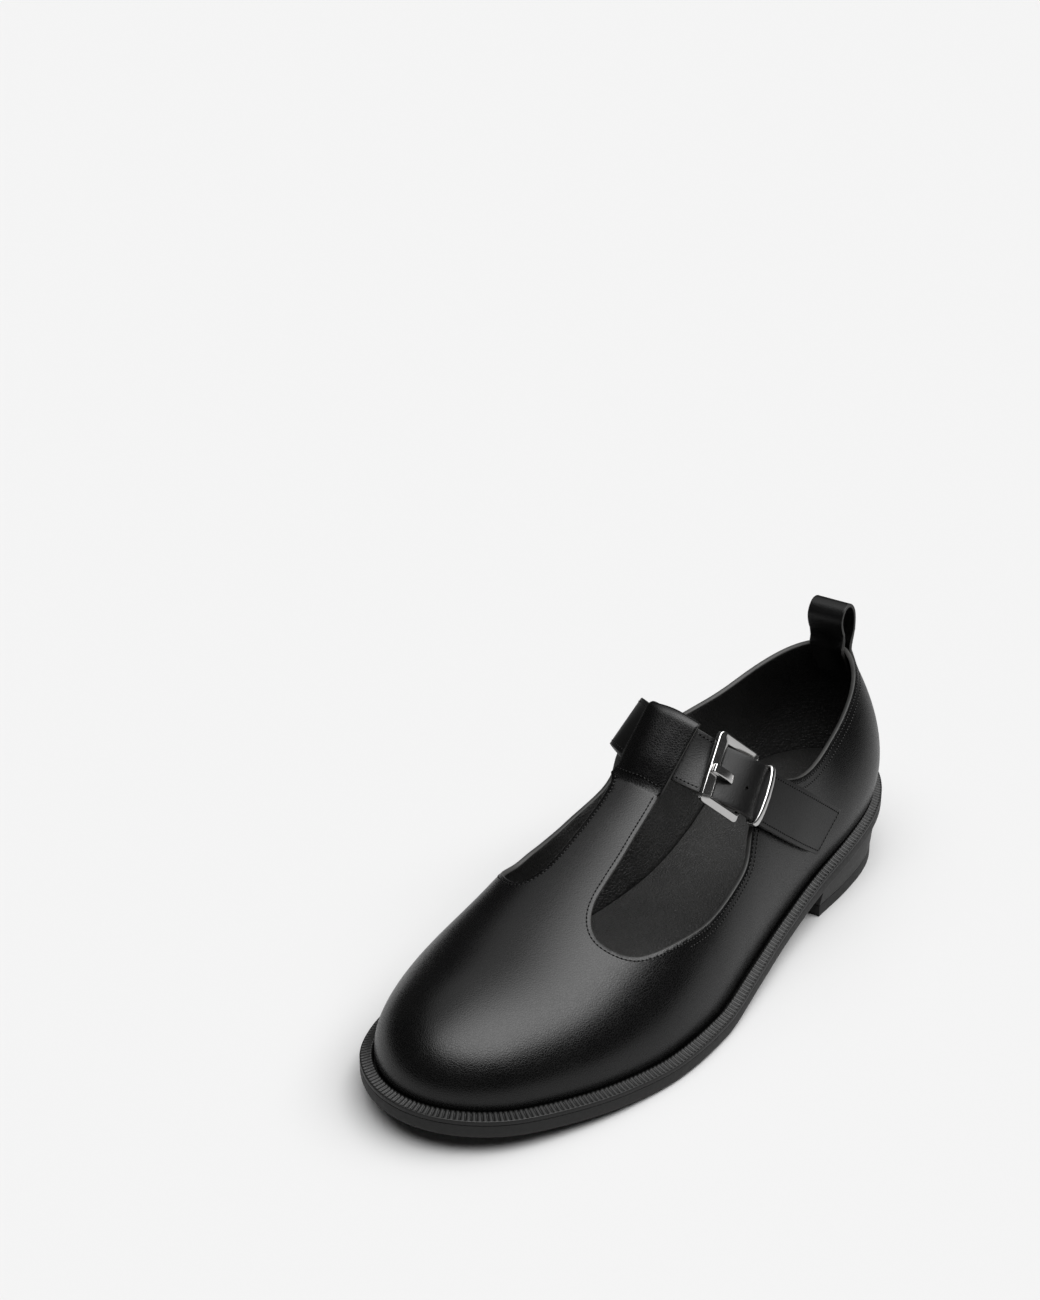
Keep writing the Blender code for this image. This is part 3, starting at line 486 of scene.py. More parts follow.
def makeStrap():
    form = strapForm
    at = np.linspace(0, len(form["edges"]) - 1, form["stations"])
    across = np.linspace(0, form["width"], form["across"])
    grid = onStrap(at[:, None], across[None, :], np.zeros((len(at), len(across))))
    piece = leatherSheet("strap", grid, form, [finish["strap"], finish["edge"]], "ankle_strap")
    for hole in form["holes"]:
        centre, run, cross, normal = strapFrame(np.array(hole))
        centre = centre + cross * (form["holeAcross"] - form["width"] / 2)
        bpy.ops.object.select_all(action="DESELECT")
        turn = Vector(normal).to_track_quat("Z", "Y").to_euler()
        bpy.ops.mesh.primitive_cylinder_add(vertices=24, radius=form["holeRadius"] * mm, depth=0.01,
                                            location=Vector((centre + frameShift) * mm), rotation=turn)
        punch = bpy.context.object
        cut = piece.modifiers.new("hole", "BOOLEAN")
        cut.operation, cut.solver, cut.object = "DIFFERENCE", "EXACT", punch
        selectOnly(piece)
        bpy.ops.object.modifier_apply(modifier=cut.name)
        bpy.data.objects.remove(punch, do_unlink=True)
    smoothByAngle(piece, 50)
    return piece


makeStrap()
print("strap done")

# upper: the last, trimmed along its top line, with the T-bar's loop run on from it
upperForm = {
    "wall": 1.8, "bulge": 0.35, "row": 1.35, "rows": 62, "rimStep": 1.0, "edgeRings": 4,
    # place, height on the outer side, height on the inner side
    "collar": [
        (26, 70.5, 76.0), (31, 67.0, 72.8), (38, 62.8, 68.8), (47, 59.8, 65.4), (57, 58.8, 63.9),
        (69, 60.2, 64.5), (81, 64.0, 66.5), (93, 69.0, 70.0), (106, 74.2, 74.2), (114, 77.4, 77.2),
        (120, 79.6, 79.6), (140, 81.4, 81.4),
    ],
    "collarBlend": 4.0, "collarFrom": 15.0, "clearOfEdge": 0.75, "loopRows": 64, "fine": 900,
    # across, place, height, from the T-bar's loop round the cut-out to the collar
    "outerRim": [(8.8, -13.0, 69.8), (10.2, -32.0, 59.9), (12.6, -53.6, 50.2), (20.0, -61.6, 43.8),
                 (30.5, -55.5, 38.2), (36.0, -36.0, 37.0), (36.9, -14.0, 38.5), (35.0, 4.0, 44.6),
                 (31.2, 13.6, 55.6), (27.0, 29.0, 70.0), (24.0, 36.0, 80.0)],
    "innerRim": [(-8.2, -16.0, 70.6), (-7.7, -34.0, 62.2), (-9.4, -51.8, 54.5), (-16.0, -58.4, 50.8),
                 (-25.8, -50.4, 45.2), (-30.2, -40.0, 42.8), (-31.2, -28.4, 44.0), (-32.4, -10.0, 44.8),
                 (-31.2, 5.4, 49.0), (-31.0, 15.6, 54.6), (-29.9, 20.2, 64.2), (-27.6, 32.0, 73.0),
                 (-22.0, 40.0, 84.0)],
    # loop: across the strap from its low edge, out from its middle
    "loopFrom": 2.93, "loopTo": 4.97, "loopAcross": 22,
    "loopPath": [(-7.0, 2.3), (-4.0, 2.45), (-1.5, 2.65), (1.5, 2.9), (4.5, 3.0), (8.0, 3.0), (12.0, 3.0),
                 (16.0, 3.0), (18.4, 3.0), (20.0, 2.7), (21.1, 1.8), (21.5, 0.4), (21.4, -1.0), (20.4, -2.3),
                 (18.4, -2.8), (16.0, -2.8), (12.0, -2.8), (8.0, -2.8), (4.0, -2.75), (0.5, -2.4),
                 (-3.0, -1.7), (-6.5, -1.1)],
}

# a fine net of the last, to find places on it
netTurns, netRises = 720, 160
gridAngles = np.linspace(0, 2 * pi, netTurns + 1)
gridRises = np.linspace(0, 1, netRises + 1)
gridPoints = lastPoint(gridAngles[:, None], gridRises[None, :])
gridFaces = []
for i in range(netTurns):
    for j in range(netRises):
        a = i * (netRises + 1) + j
        gridFaces.append((a, a + netRises + 1, a + netRises + 2, a + 1))
lastTree = BVHTree.FromPolygons([tuple(p) for p in gridPoints.reshape(-1, 3)], gridFaces)


def lastPlace(point):
    # angle and rise of the last's nearest point
    hit, normal, face, distance = lastTree.find_nearest(Vector(point))
    angle, rise = gridAngles[face // netRises] + pi / netTurns, (face % netRises + 0.5) / netRises
    target = np.array(hit)
    for step in range(6):
        p = lastPoint(angle, rise)
        da = (lastPoint(angle + 1e-4, rise) - p) / 1e-4
        dr = (p - lastPoint(angle, rise - 1e-4)) / 1e-4
        move = np.linalg.lstsq(np.stack([da, dr], 1), target - p, rcond=None)[0]
        angle, rise = angle + move[0], min(max(rise + move[1], 1e-3), 1.0)
    return angle, rise


def evenly(places, step):
    # the same line on the last, with points at equal lengths
    p = lastPoint(places[:, 0], places[:, 1])
    length = np.concatenate([[0], np.cumsum(np.linalg.norm(np.diff(p, axis=0), axis=1))])
    at = np.linspace(0, length[-1], max(int(length[-1] / step), 2) + 1)
    return np.stack([np.interp(at, length, places[:, k]) for k in (0, 1)], 1)


def collarHeight(p):
    outer, inner = [tableCurve(upperForm["collar"], k, p[:, 1]) for k in (1, 2)]
    share = np.clip(p[:, 0] / upperForm["collarBlend"] / 2 + 0.5, 0, 1)
    return inner + (outer - inner) * share


def rimPlaces(corner, rows):
    control = np.array([corner] + [lastPlace(p) for p in rows])
    line = smoothThrough(control, np.linspace(0, len(control) - 1, upperForm["fine"]))
    p = lastPoint(line[:, 0], line[:, 1])
    over = (p[:, 1] > upperForm["collarFrom"]) & (p[:, 2] > collarHeight(p))
    stop = int(np.argmax(over)) if over.any() else len(line)
    return evenly(line[:stop], upperForm["rimStep"])


def collarPlaces(first, last):
    samples, halvings = 700, 40
    angles = np.linspace(first, last, samples)
    low, high = np.full(samples, 0.1), np.full(samples, 0.995)
    for step in range(halvings):
        middle = (low + high) / 2
        p = lastPoint(angles, middle)
        over = p[:, 2] > collarHeight(p)
        high = np.where(over, middle, high)
        low = np.where(over, low, middle)
    return evenly(np.stack([angles, low], 1), upperForm["rimStep"])


def flatPlace(places):
    # the last laid flat: straight lines from the sole's edge to the middle line
    angle, rise = places[:, 0], places[:, 1]
    foot = insetOutline(angle, weltWidth(angle))
    middle = np.stack([np.zeros(len(angle)), spine((1 - np.cos(angle)) / 2)], 1)
    return foot * (1 - rise)[:, None] + middle * rise[:, None]


def insideLoop(points, loop):
    inside = np.zeros(len(points), bool)
    x, y = points[:, 0], points[:, 1]
    a = loop
    b = np.roll(loop, -1, 0)
    for k in range(len(loop)):
        crosses = (a[k, 1] > y) != (b[k, 1] > y)
        if not crosses.any():
            continue
        at = a[k, 0] + (y - a[k, 1]) * (b[k, 0] - a[k, 0]) / (b[k, 1] - a[k, 1] + 1e-15)
        inside ^= crosses & (x < at)
    return inside


def makeUpper():
    form = upperForm
    loopAt = np.linspace(form["loopFrom"], form["loopTo"], form["loopAcross"] + 1)
    foot = [lastPlace(onStrap(np.array(at), *form["loopPath"][0])) for at in loopAt]
    barEnd = np.array(foot)                                   # inner side to outer side
    inner = rimPlaces(barEnd[0], form["innerRim"])
    outer = rimPlaces(barEnd[-1], form["outerRim"])
    collar = collarPlaces(outer[-1, 0], inner[-1, 0])
    # top line: collar from the outer side, inner rim to the T-bar, its end, outer rim
    topLine = np.concatenate([collar[:-1], inner[::-1][:-1], barEnd, outer[1:-1]])
    endFirst = len(collar) - 1 + len(inner) - 1
    fine = form["fine"]
    turns = np.linspace(0, 2 * pi, fine)
    edge = evenly(np.stack([turns, np.zeros(fine)], 1), form["row"])[:-1]
    rows = []
    for rise in np.linspace(0, 1, form["rows"])[1:]:
        whole = np.stack([turns, np.full(fine, rise)], 1)
        if rise == 1:
            whole = whole[:fine // 2]
        rows.append(evenly(whole, form["row"])[:-1])
    field = np.concatenate(rows)
    flatTop = flatPlace(topLine)
    field = field[~insideLoop(flatPlace(field), flatTop)]
    tree = KDTree(len(topLine))
    for k, p in enumerate(lastPoint(topLine[:, 0], topLine[:, 1])):
        tree.insert(p, k)
    tree.balance()
    solidPoints = lastPoint(field[:, 0], field[:, 1])
    far = np.array([tree.find(p)[2] > form["clearOfEdge"] for p in solidPoints])
    field = field[far]
    places = np.concatenate([edge, topLine, field])
    flat = flatPlace(places)
    nEdge, nTop = len(edge), len(topLine)
    lines = [(i, (i + 1) % nEdge) for i in range(nEdge)]
    lines += [(nEdge + i, nEdge + (i + 1) % nTop) for i in range(nTop)]
    found = delaunay_2d_cdt([Vector(p) for p in flat], lines, [], 0, 1e-7)
    verts, triangles, origin = found[0], np.array(found[2]), found[3]
    back = np.array([o[0] if o else -1 for o in origin])
    middle = np.array([[verts[i].x, verts[i].y] for i in range(len(verts))])[triangles].mean(1)
    keep = insideLoop(middle, flat[:nEdge]) & ~insideLoop(middle, flatTop)
    triangles = back[triangles[keep]]
    triangles = triangles[(triangles >= 0).all(1)]
    points = lastPoint(places[:, 0], places[:, 1])
    normals = lastNormal(places[:, 0], np.clip(places[:, 1], 0.004, 0.996))
    # loop: rows over the strap and back under it
    path = np.array(form["loopPath"][1:])
    path = smoothThrough(path, np.linspace(0, len(path) - 1, form["loopRows"]))
    width = len(loopAt)
    band = np.stack([onStrap(loopAt, np.full(width, s), np.full(width, n)) for s, n in path])
    firstBand = len(points)
    endRow = nEdge + endFirst + np.arange(width)
    faces = triangles.tolist()
    bandRows = [endRow] + [firstBand + k * width + np.arange(width) for k in range(len(path))]
    for a, b in zip(bandRows[:-1], bandRows[1:]):
        for j in range(width - 1):
            faces.append((int(a[j]), int(a[j + 1]), int(b[j + 1]), int(b[j])))
    points = np.concatenate([points, band.reshape(-1, 3)])
    whole = np.concatenate([points[endRow][None], band])
    bandNormals = gridNormals(whole)
    if np.sum(bandNormals[0] * normals[endRow]) < 0:
        bandNormals = -bandNormals
    normals = np.concatenate([normals, bandNormals[1:].reshape(-1, 3)])
    normals[endRow] = unit(normals[endRow] + bandNormals[0])
    # turn the faces outwards
    outFaces = []
    for f in faces:
        p = points[list(f)]
        facing = np.cross(p[1] - p[0], p[2] - p[0])
        outFaces.append(tuple(f) if np.dot(facing, normals[f[0]]) > 0 else tuple(f[::-1]))
    count = len(points)
    lining = points - normals * form["wall"]
    allFaces = list(outFaces) + [tuple(count + i for i in f[::-1]) for f in outFaces]
    looks = [0] * len(outFaces) + [1] * len(outFaces)
    # rounded edge along the top line and round the loop
    rim = list(range(nEdge, nEdge + endFirst + 1))
    rim += [int(row[0]) for row in bandRows[1:]] + [int(i) for i in bandRows[-1][1:]]
    rim += [int(row[-1]) for row in bandRows[-2:0:-1]]
    rim += list(range(nEdge + endFirst + width - 1, nEdge + nTop))
    rim = np.array(rim)
    line = points[rim]
    t = unit(np.roll(line, -1, 0) - np.roll(line, 1, 0))
    away = unit(np.cross(t, normals[rim]))
    shells = [points, lining]
    first = 2 * count
    rings = [rim]
    sign = rimSide(points, outFaces, rim, away)
    for k in range(1, form["edgeRings"] + 1):
        phi = pi * k / (form["edgeRings"] + 1)
        shells.append(line - normals[rim] * form["wall"] / 2 * (1 - cos(phi))
                      + away * sign * form["bulge"] * sin(phi))
        rings.append(first + np.arange(len(rim)))
        first += len(rim)
    rings.append(count + rim)
    for a, b in zip(rings[:-1], rings[1:]):
        for i in range(len(rim)):
            j = (i + 1) % len(rim)
            allFaces.append((int(a[i]), int(a[j]), int(b[j]), int(b[i])))
            looks.append(2)
    for i in range(nEdge):
        j = (i + 1) % nEdge
        allFaces.append((i, j, count + j, count + i))
        looks.append(1)
    leathers = [finish["upper"], finish["lining"], finish["edge"]]
    piece = makePiece("upper", np.concatenate(shells), allFaces, leathers, looks, "upper")
    faceOutwards(piece)
    places = {"inner": inner, "outer": outer, "collar": collar, "open": flatTop}
    return piece, places


def rimSide(points, faces, rim, away):
    # which way is off the leather along the top line
    near = {}
    wanted = set(int(i) for i in rim)
    for f in faces:
        for i in f:
            if i in wanted:
                near.setdefault(i, []).append(np.mean([points[k] for k in f], 0))
    total = 0.0
    for k, i in enumerate(rim):
        for centre in near.get(int(i), []):
            total += np.dot(away[k], points[i] - centre)
    return 1.0 if total > 0 else -1.0


upper, topLines = makeUpper()
print("upper done", len(upper.data.polygons))

# outsole, welt, heel, insole
soleForm = {
    "samples": 480, "insoleThick": 2.5, "breast": 58.5, "tipThick": 4.2, "heelInset": 1.6, "heelTaper": 1.4,
    # inset, height up the outsole's side
    "side": [(2.2, 0.0), (1.2, 0.05), (0.65, 0.3), (0.3, 0.7), (0.08, 1.3), (0.0, 2.0), (0.0, 3.4),
             (0.0, 4.5), (0.05, 4.72), (0.3, 4.8)],
    "insoleClear": 0.6, "insoleEdge": [(0.0, -0.5), (0.15, -0.15), (0.6, 0.0)], "softEdge": 0.5,
    "weltThick": 2.1, "weltFall": 0.5, "weltSlope": 0.7, "ribs": 352, "ribDepth": 0.75, "perRib": 8,
}


def soleRing(angle, inset, height):
    p = insetOutline(angle, inset)
    return np.column_stack([p, underside(p[:, 1]) + height])


def ringFaces(rings, count, closed=False):
    faces = []
    for r in range(rings if closed else rings - 1):
        near, far = r * count, (r + 1) % rings * count
        for i in range(count):
            j = (i + 1) % count
            faces.append((near + i, near + j, far + j, far + i))
    return faces


def stripCap(first, count):
    faces = []
    for i in range(count // 2):
        quad = [first + i, first + i + 1, first + (count - i - 1) % count, first + (count - i) % count]
        faces.append(tuple(dict.fromkeys(quad)))
    return faces


def makeSlab(name, rings, look, node):
    count = len(rings[0])
    faces = ringFaces(len(rings), count) + stripCap(0, count) + stripCap((len(rings) - 1) * count, count)
    piece = makePiece(name, np.concatenate(rings), faces, [look], None, node)
    faceOutwards(piece)
    smoothByAngle(piece, 40)
    return piece


def makeSole():
    angle = np.linspace(0, 2 * pi, soleForm["samples"] + 1)[:-1]
    side = [soleRing(angle, inset, height) for inset, height in soleForm["side"]]
    makeSlab("outsole", side, finish["outsole"], "outsole")
    base = lastForm["outsoleThick"] + lastForm["gap"]
    clear = weltWidth(angle) + upperForm["wall"] + soleForm["insoleClear"]
    top = soleForm["insoleThick"]
    steps = [(0.0, 0.0)] + [(inset, top + drop) for inset, drop in soleForm["insoleEdge"]]
    rings = [soleRing(angle, clear + inset, base + height) for inset, height in steps]
    makeSlab("insole", rings, finish["insole"], "insole")


def makeWelt():
    fine = np.linspace(0, 2 * pi, 4001)
    p = outline(fine)
    length = np.concatenate([[0], np.cumsum(np.linalg.norm(np.diff(p, axis=0), axis=1))])
    count = soleForm["ribs"] * soleForm["perRib"]
    angle = np.interp(np.arange(count) / count * length[-1], length, fine)
    rib = np.abs(np.sin(pi * np.arange(count) / soleForm["perRib"])) ** 0.5
    width = weltWidth(angle)
    base = lastForm["outsoleThick"] + lastForm["gap"]
    edge = base + soleForm["weltThick"] - soleForm["weltFall"]
    top = base + soleForm["weltThick"] + soleForm["weltSlope"]
    drop = soleForm["ribDepth"] * (1 - rib)
    profile = [  # inset, height, share of the rib's drop
        (width - 0.4, base, 0), (0.25, base, 0), (0.06, base + 0.06, 0), (0.0, base + 0.25, 0),
        (0.0, edge - 0.3, 0), (0.1, edge - 0.06, 0), (0.3, edge, 0.05), (0.55, edge + 0.12, 0.7),
        (0.9, edge + 0.25, 1), (width * 0.5, (edge + top) / 2 + 0.15, 1), (width - 1.6, top - 0.1, 1),
        (width - 1.1, top, 0.6)]
    rings = []
    for inset, height, share in profile:
        ring = soleRing(angle, inset, height)
        ring[:, 2] -= drop * share
        rings.append(ring)
    faces = ringFaces(len(rings), count, True)
    piece = makePiece("welt", np.concatenate(rings), faces, [finish["welt"]], None, "welt")
    faceOutwards(piece)


def heelRing(inset, height=None, count=161):
    first = np.arccos(-soleForm["breast"] / (lastForm["length"] / 2))
    angle = np.linspace(first, 2 * pi - first, count)
    p = insetOutline(angle, inset)
    p[[0, -1], 1] = soleForm["breast"]
    z = underside(p[:, 1]) - lastForm["gap"] if height is None else np.full(len(p), height)
    return np.column_stack([p, z])


def makeHeelSolid(name, rings, look, node):
    count = len(rings[0])
    faces = ringFaces(len(rings), count)
    for first in (0, (len(rings) - 1) * count):
        for i in range((count - 1) // 2):
            quad = [first + i, first + i + 1, first + count - 2 - i, first + count - 1 - i]
            faces.append(tuple(dict.fromkeys(quad)))
    piece = makePiece(name, np.concatenate(rings), faces, [look], None, node)
    faceOutwards(piece)
    softEdges(piece, soleForm["softEdge"], 3, 40)
    smoothByAngle(piece, 35)


def makeHeel():
    low = soleForm["heelInset"] + soleForm["heelTaper"]
    tip = soleForm["tipThick"]
    makeHeelSolid("heelTip", [heelRing(low, 0.0), heelRing(low, tip)], finish["outsole"], "heel_tip")
    block = [heelRing(low, tip + lastForm["gap"]), heelRing(soleForm["heelInset"])]
    makeHeelSolid("heelBlock", block, finish["heel"], "heel_block")


makeSole()
makeWelt()
makeHeel()
print("sole unit done")

# buckle, prong and keeper
metalForm = {
    "end": 6.08, "hinge": 7.22, "bar": 2.7, "hingeBar": 1.9, "thick": 1.9, "clear": 0.9, "side": 0.6,
    "brim": 0.4, "endWide": 1.9, "prongWide": 1.5, "corner": 2.2, "innerCorner": 0.6,
    "frameBevel": 0.14, "bevel": 0.3, "segments": 3,
    # share of the bar's width from outside, height in half thicknesses
    "lowBar": [(0.0, -1.0), (0.0, -0.6), (0.06, -0.35), (0.62, 0.7), (0.72, 0.95), (0.94, 1.0), (1.0, 0.8),
               (1.0, -1.0)],
    "highBar": [(0.0, -1.0), (0.0, 0.8), (0.06, 1.0), (0.16, 1.0), (0.24, 0.92), (0.92, -0.5), (1.0, -0.65),
                (1.0, -1.0)],
    "endBar": [(0.0, -1.0), (0.0, 0.75), (0.05, 0.95), (0.66, 1.0), (0.70, 0.97), (0.95, 0.2), (1.0, 0.0),
               (1.0, -1.0)],
    "keeperAt": 7.84, "keeperWidth": 2.6, "keeperThick": 1.2, "keeperCrown": 1.1, "keeperSide": 0.4,
    "keeperCorner": 0.35, "keeperRound": 0.8,
}


def roundedLoop(halfA, lowA, halfB, radius):
    # rounded rectangle from lowA to halfA along, halfB each way across
    corner = []
    for a, b, turn in ((halfA - radius, halfB - radius, 0), (lowA + radius, halfB - radius, 1),
                       (lowA + radius, radius - halfB, 2), (halfA - radius, radius - halfB, 3)):
        for k in range(9):
            t = (turn + k / 8) * pi / 2
            corner.append((a + radius * cos(t), b + radius * sin(t)))
    return np.array(corner)


def makeBuckle():
    form = metalForm
    wide, thick = strapForm["width"], strapForm["thick"]
    end = onStrap(np.array(form["end"]), wide / 2, thick / 2 + form["clear"] + form["thick"] / 2)
    hinge = onStrap(np.array(form["hinge"]), wide / 2, -thick / 2 - lastForm["gap"] - form["hingeBar"] / 2)
    length = np.linalg.norm(hinge - end)
    along = (hinge - end) / length
    cross = strapFrame(np.array((form["end"] + form["hinge"]) / 2))[2]
    cross = unit(cross - along * np.dot(cross, along))
    out = np.cross(along, cross)
    inner = wide / 2 + form["side"]
    halfBar = form["bar"] / 2 + form["brim"]
    outside = roundedLoop(length / 2 + form["hingeBar"] / 2, -length / 2 - halfBar - form["endWide"],
                          inner + form["bar"], form["corner"])
    inside = roundedLoop(length / 2 - form["hingeBar"] / 2, -length / 2 + halfBar, inner, form["innerCorner"])
    # the end bar is flat-topped, the side bars slope outwards, and the corners lead from one to the other
    count = len(outside)
    atEnd = np.interp(np.arange(count), (9, 17, 18, 26), (0, 1, 1, 0))[:, None]
    atLow = np.interp(np.arange(count), (17, 18), (0, 1))[:, None]
    rings = []
    for low, high, last in zip(form["lowBar"], form["highBar"], form["endBar"]):
        bar = np.array(high) + (np.array(low) - np.array(high)) * atLow
        bar = bar + (np.array(last) - bar) * atEnd
        flat = outside + (inside - outside) * bar[:, :1]
        rise = bar[:, 1:] * form["thick"] / 2
        rings.append((end + hinge) / 2 + flat[:, :1] * along + flat[:, 1:] * cross + out * rise)
    faces = ringFaces(len(rings), count, True)
    piece = makePiece("buckleFrame", np.concatenate(rings), faces, [finish["metal"]], None, "buckle_frame")
    faceOutwards(piece)
    softEdges(piece, form["frameBevel"], 2, 30)
    smoothByAngle(piece, 32)


def softenNode(node, bevel):
    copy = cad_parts[node].copy()
    copy.data = copy.data.copy()
    copy.name = node.replace("_", " ").title().replace(" ", "")
    scene.collection.objects.link(copy)
    copy.parent = None
    copy.matrix_world = Matrix.Identity(4)
    copy.hide_render = copy.hide_viewport = False
    selectOnly(copy)
    bpy.ops.object.mode_set(mode="EDIT")
    bpy.ops.mesh.select_all(action="SELECT")
    bpy.ops.mesh.remove_doubles(threshold=1e-5)
    bpy.ops.mesh.tris_convert_to_quads(face_threshold=radians(5), shape_threshold=radians(180))
    bpy.ops.mesh.dissolve_limited(angle_limit=radians(1))
    bpy.ops.object.mode_set(mode="OBJECT")
    softEdges(copy, bevel, metalForm["segments"], 30)
    cross = strapFrame(np.array(metalForm["end"]))[2]
    places = np.array([v.co for v in copy.data.vertices])
    across = (places - places.mean(0)) @ cross
    for v, a in zip(copy.data.vertices, across):
        v.co += Vector(cross) * a * (metalForm["prongWide"] - 1)
    copy.data.materials.clear()
    copy.data.materials.append(finish["metal"])
    smoothByAngle(copy, 60)
    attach(copy, "root")
    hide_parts(node)
    return copy


def blunt(value, power):
    return np.sign(value) * np.abs(value) ** power


def makeKeeper():
    form = metalForm
    half = strapForm["thick"] / 2 + lastForm["gap"] + form["keeperThick"] / 2
    reach = strapForm["width"] / 2 + form["keeperSide"] + form["keeperThick"] / 2
    turns, sides = 96, 16
    bpy.ops.object.select_all(action="DESELECT")
    bpy.ops.mesh.primitive_torus_add(major_segments=turns, minor_segments=sides, major_radius=1,
                                     minor_radius=0.25)
    piece = bpy.context.object
    piece.name = piece.data.name = "keeper"
    # middle line round the strap: flat underneath, arched over it, with round corners
    turn = np.linspace(0, 2 * pi, turns + 1)
    line = np.stack([blunt(np.cos(turn), form["keeperCorner"]) * reach,
                     blunt(np.sin(turn), form["keeperCorner"]) * half], 1)
    arch = np.clip(np.sin(turn), 0, 1) > 0
    line[:, 1] += arch * form["keeperCrown"] * (1 - (line[:, 0] / reach) ** 2)
    t = unit(np.roll(line[:-1], -1, 0) - np.roll(line[:-1], 1, 0))
    away = np.stack([t[:, 1], -t[:, 0]], 1)
    centre, run, cross, normal = strapFrame(np.array(form["keeperAt"]))
    for v in piece.data.vertices:
        round1 = np.arctan2(v.co.y, v.co.x)
        i = round(round1 / (2 * pi) * turns) % turns
        round2 = np.arctan2(v.co.z, np.hypot(v.co.x, v.co.y) - 1)
        flat = blunt(np.sin(round2), form["keeperRound"]) * form["keeperWidth"] / 2
        proud = blunt(np.cos(round2), form["keeperRound"]) * form["keeperThick"] / 2
        q = line[i] + away[i] * proud
        v.co = (centre + cross * q[0] + normal * q[1] + run * flat + frameShift) * mm
    piece.data.materials.append(finish["metal"])
    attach(piece, "root")
    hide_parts("buckle_keeper")
    faceOutwards(piece)
    smoothByAngle(piece, 60)


makeBuckle()
softenNode("buckle_prong", metalForm["bevel"])
makeKeeper()
print("buckle done")

# pull loop
pullForm = {
    "width": 14.7, "thick": 1.3, "free": 6.0, "round": 0.4, "side": 0.5, "sewn": 2.0, "set": 0.6,
    "collar": 79.6, "rows": 140, "across": 17, "farBehind": 200,
    # behind the quarter's face, over the collar
    "path": [(-3.0, -14.0), (-3.0, -8.0), (-3.0, -2.5), (-4.0, 2.5), (-7.2, 7.5), (-8.4, 12.2), (-6.4, 16.2),
             (-2.6, 16.8), (0.6, 13.4), (1.5, 7.5), (1.15, 1.5), (1.05, -3.0), (1.05, -10.5)],
}


def makePull():
    form = pullForm
    rows = smoothThrough(np.array(form["path"]), np.linspace(0, len(form["path"]) - 1, form["rows"]))
    across = np.linspace(-form["width"] / 2, form["width"] / 2, form["across"]) + form["side"]
    forward = Vector((0, -1, 0))
    grid = np.zeros((len(rows), len(across), 3))
    for i, (behind, over) in enumerate(rows):
        z = form["collar"] + min(over, -form["sewn"])
        middle = lastTree.ray_cast(Vector((0, form["farBehind"], z)), forward)[0]
        free = min(max(over / form["free"], 0), 1)
        for j, x in enumerate(across):
            hit, facing = lastTree.ray_cast(Vector((x, form["farBehind"], z)), forward)[:2]
            back = hit.y + behind / abs(facing.y)
            grid[i, j] = (x, back + (middle.y + behind - form["set"] - back) * free, form["collar"] + over)
    leatherSheet("pullLoop", grid, form, [finish["strap"], finish["edge"]], "pull_loop")


makePull()
print("pull loop done")

# stitches
stitchForm = {
    "pitch": 1.5, "length": 0.8, "radius": 0.19, "sink": 0.06, "holeShade": 0.5,
    "rim": 1.25, "rimBand": 3.2, "rimBandRows": 75, "collarRows": (1.6, 4.0), "strapEdge": 1.5,
    # runs along the strap from the tip, and the seam across the T-bar
    "strapRuns": [(7.95, 9.94), (5.05, 5.9), (0.95, 2.88)], "barSide": 0.06, "barAcross": -4.2, "barOut": 2.5,
}


def stitchShape(size):
    bpy.ops.object.select_all(action="DESELECT")
    bpy.ops.mesh.primitive_uv_sphere_add(segments=6, ring_count=5, radius=1)
    shape = bpy.context.object
    points = np.array([v.co for v in shape.data.vertices])[:, [2, 0, 1]] * np.array(size)
    faces = [tuple(f.vertices) for f in shape.data.polygons]
    bpy.data.objects.remove(shape, do_unlink=True)
    return points, faces


stitchShapes = [
    stitchShape((stitchForm["length"] / 2, stitchForm["radius"], stitchForm["radius"])),
    # second shape: a flat dark mark of painted shade at each needle hole
    stitchShape((stitchForm["holeShade"], stitchForm["holeShade"] * 0.6, stitchForm["holeShade"] * 0.3)),
]


def offsetLine(places, distance):
    # a line on the last beside another one, on its leather side
    p = lastPoint(places[:, 0], places[:, 1])
    n = lastNormal(places[:, 0], np.clip(places[:, 1], 0.004, 0.996))
    beside = unit(np.cross(n, unit(np.gradient(p, axis=0))))
    probe = [np.array([lastPlace(q) for q in (p + beside * distance * way)[::9]]) for way in (1, -1)]
    inOpening = [insideLoop(flatPlace(q), topLines["open"]).sum() for q in probe]
    way = 1 if inOpening[0] < inOpening[1] else -1
    hits = [lastTree.find_nearest(Vector(q)) for q in p + beside * distance * way]
    return np.array([h[0] for h in hits]), n


def strapLine(fromAt, toAt, fromAcross, toAcross, out):
    at, across = np.linspace(fromAt, toAt, 200), np.linspace(fromAcross, toAcross, 200)
    return onStrap(at, across, np.full(200, out)), strapFrame(at)[3]


def stitchRows():
    form = stitchForm
    inner, outer, collar = topLines["inner"], topLines["outer"], topLines["collar"]
    rows = [offsetLine(outer[2:], form["rim"]), offsetLine(inner[2:], form["rim"])]
    rows += [offsetLine(outer[-form["rimBandRows"]:], form["rimBand"])]
    rows += [offsetLine(collar[3:-3], away) for away in form["collarRows"]]
    top, wide, edge = strapForm["thick"] / 2, strapForm["width"], form["strapEdge"]
    barFrom, barTo = upperForm["loopFrom"] + form["barSide"], upperForm["loopTo"] - form["barSide"]
    rows.append(strapLine(barFrom, barTo, form["barAcross"], form["barAcross"], form["barOut"]))
    for across in (edge, wide - edge):
        for start, stop in form["strapRuns"]:
            rows.append(strapLine(start, stop, across, across, top))
    tip = form["strapRuns"][0][1]
    rows.append(strapLine(tip, tip, edge, wide - edge, top))
    return rows


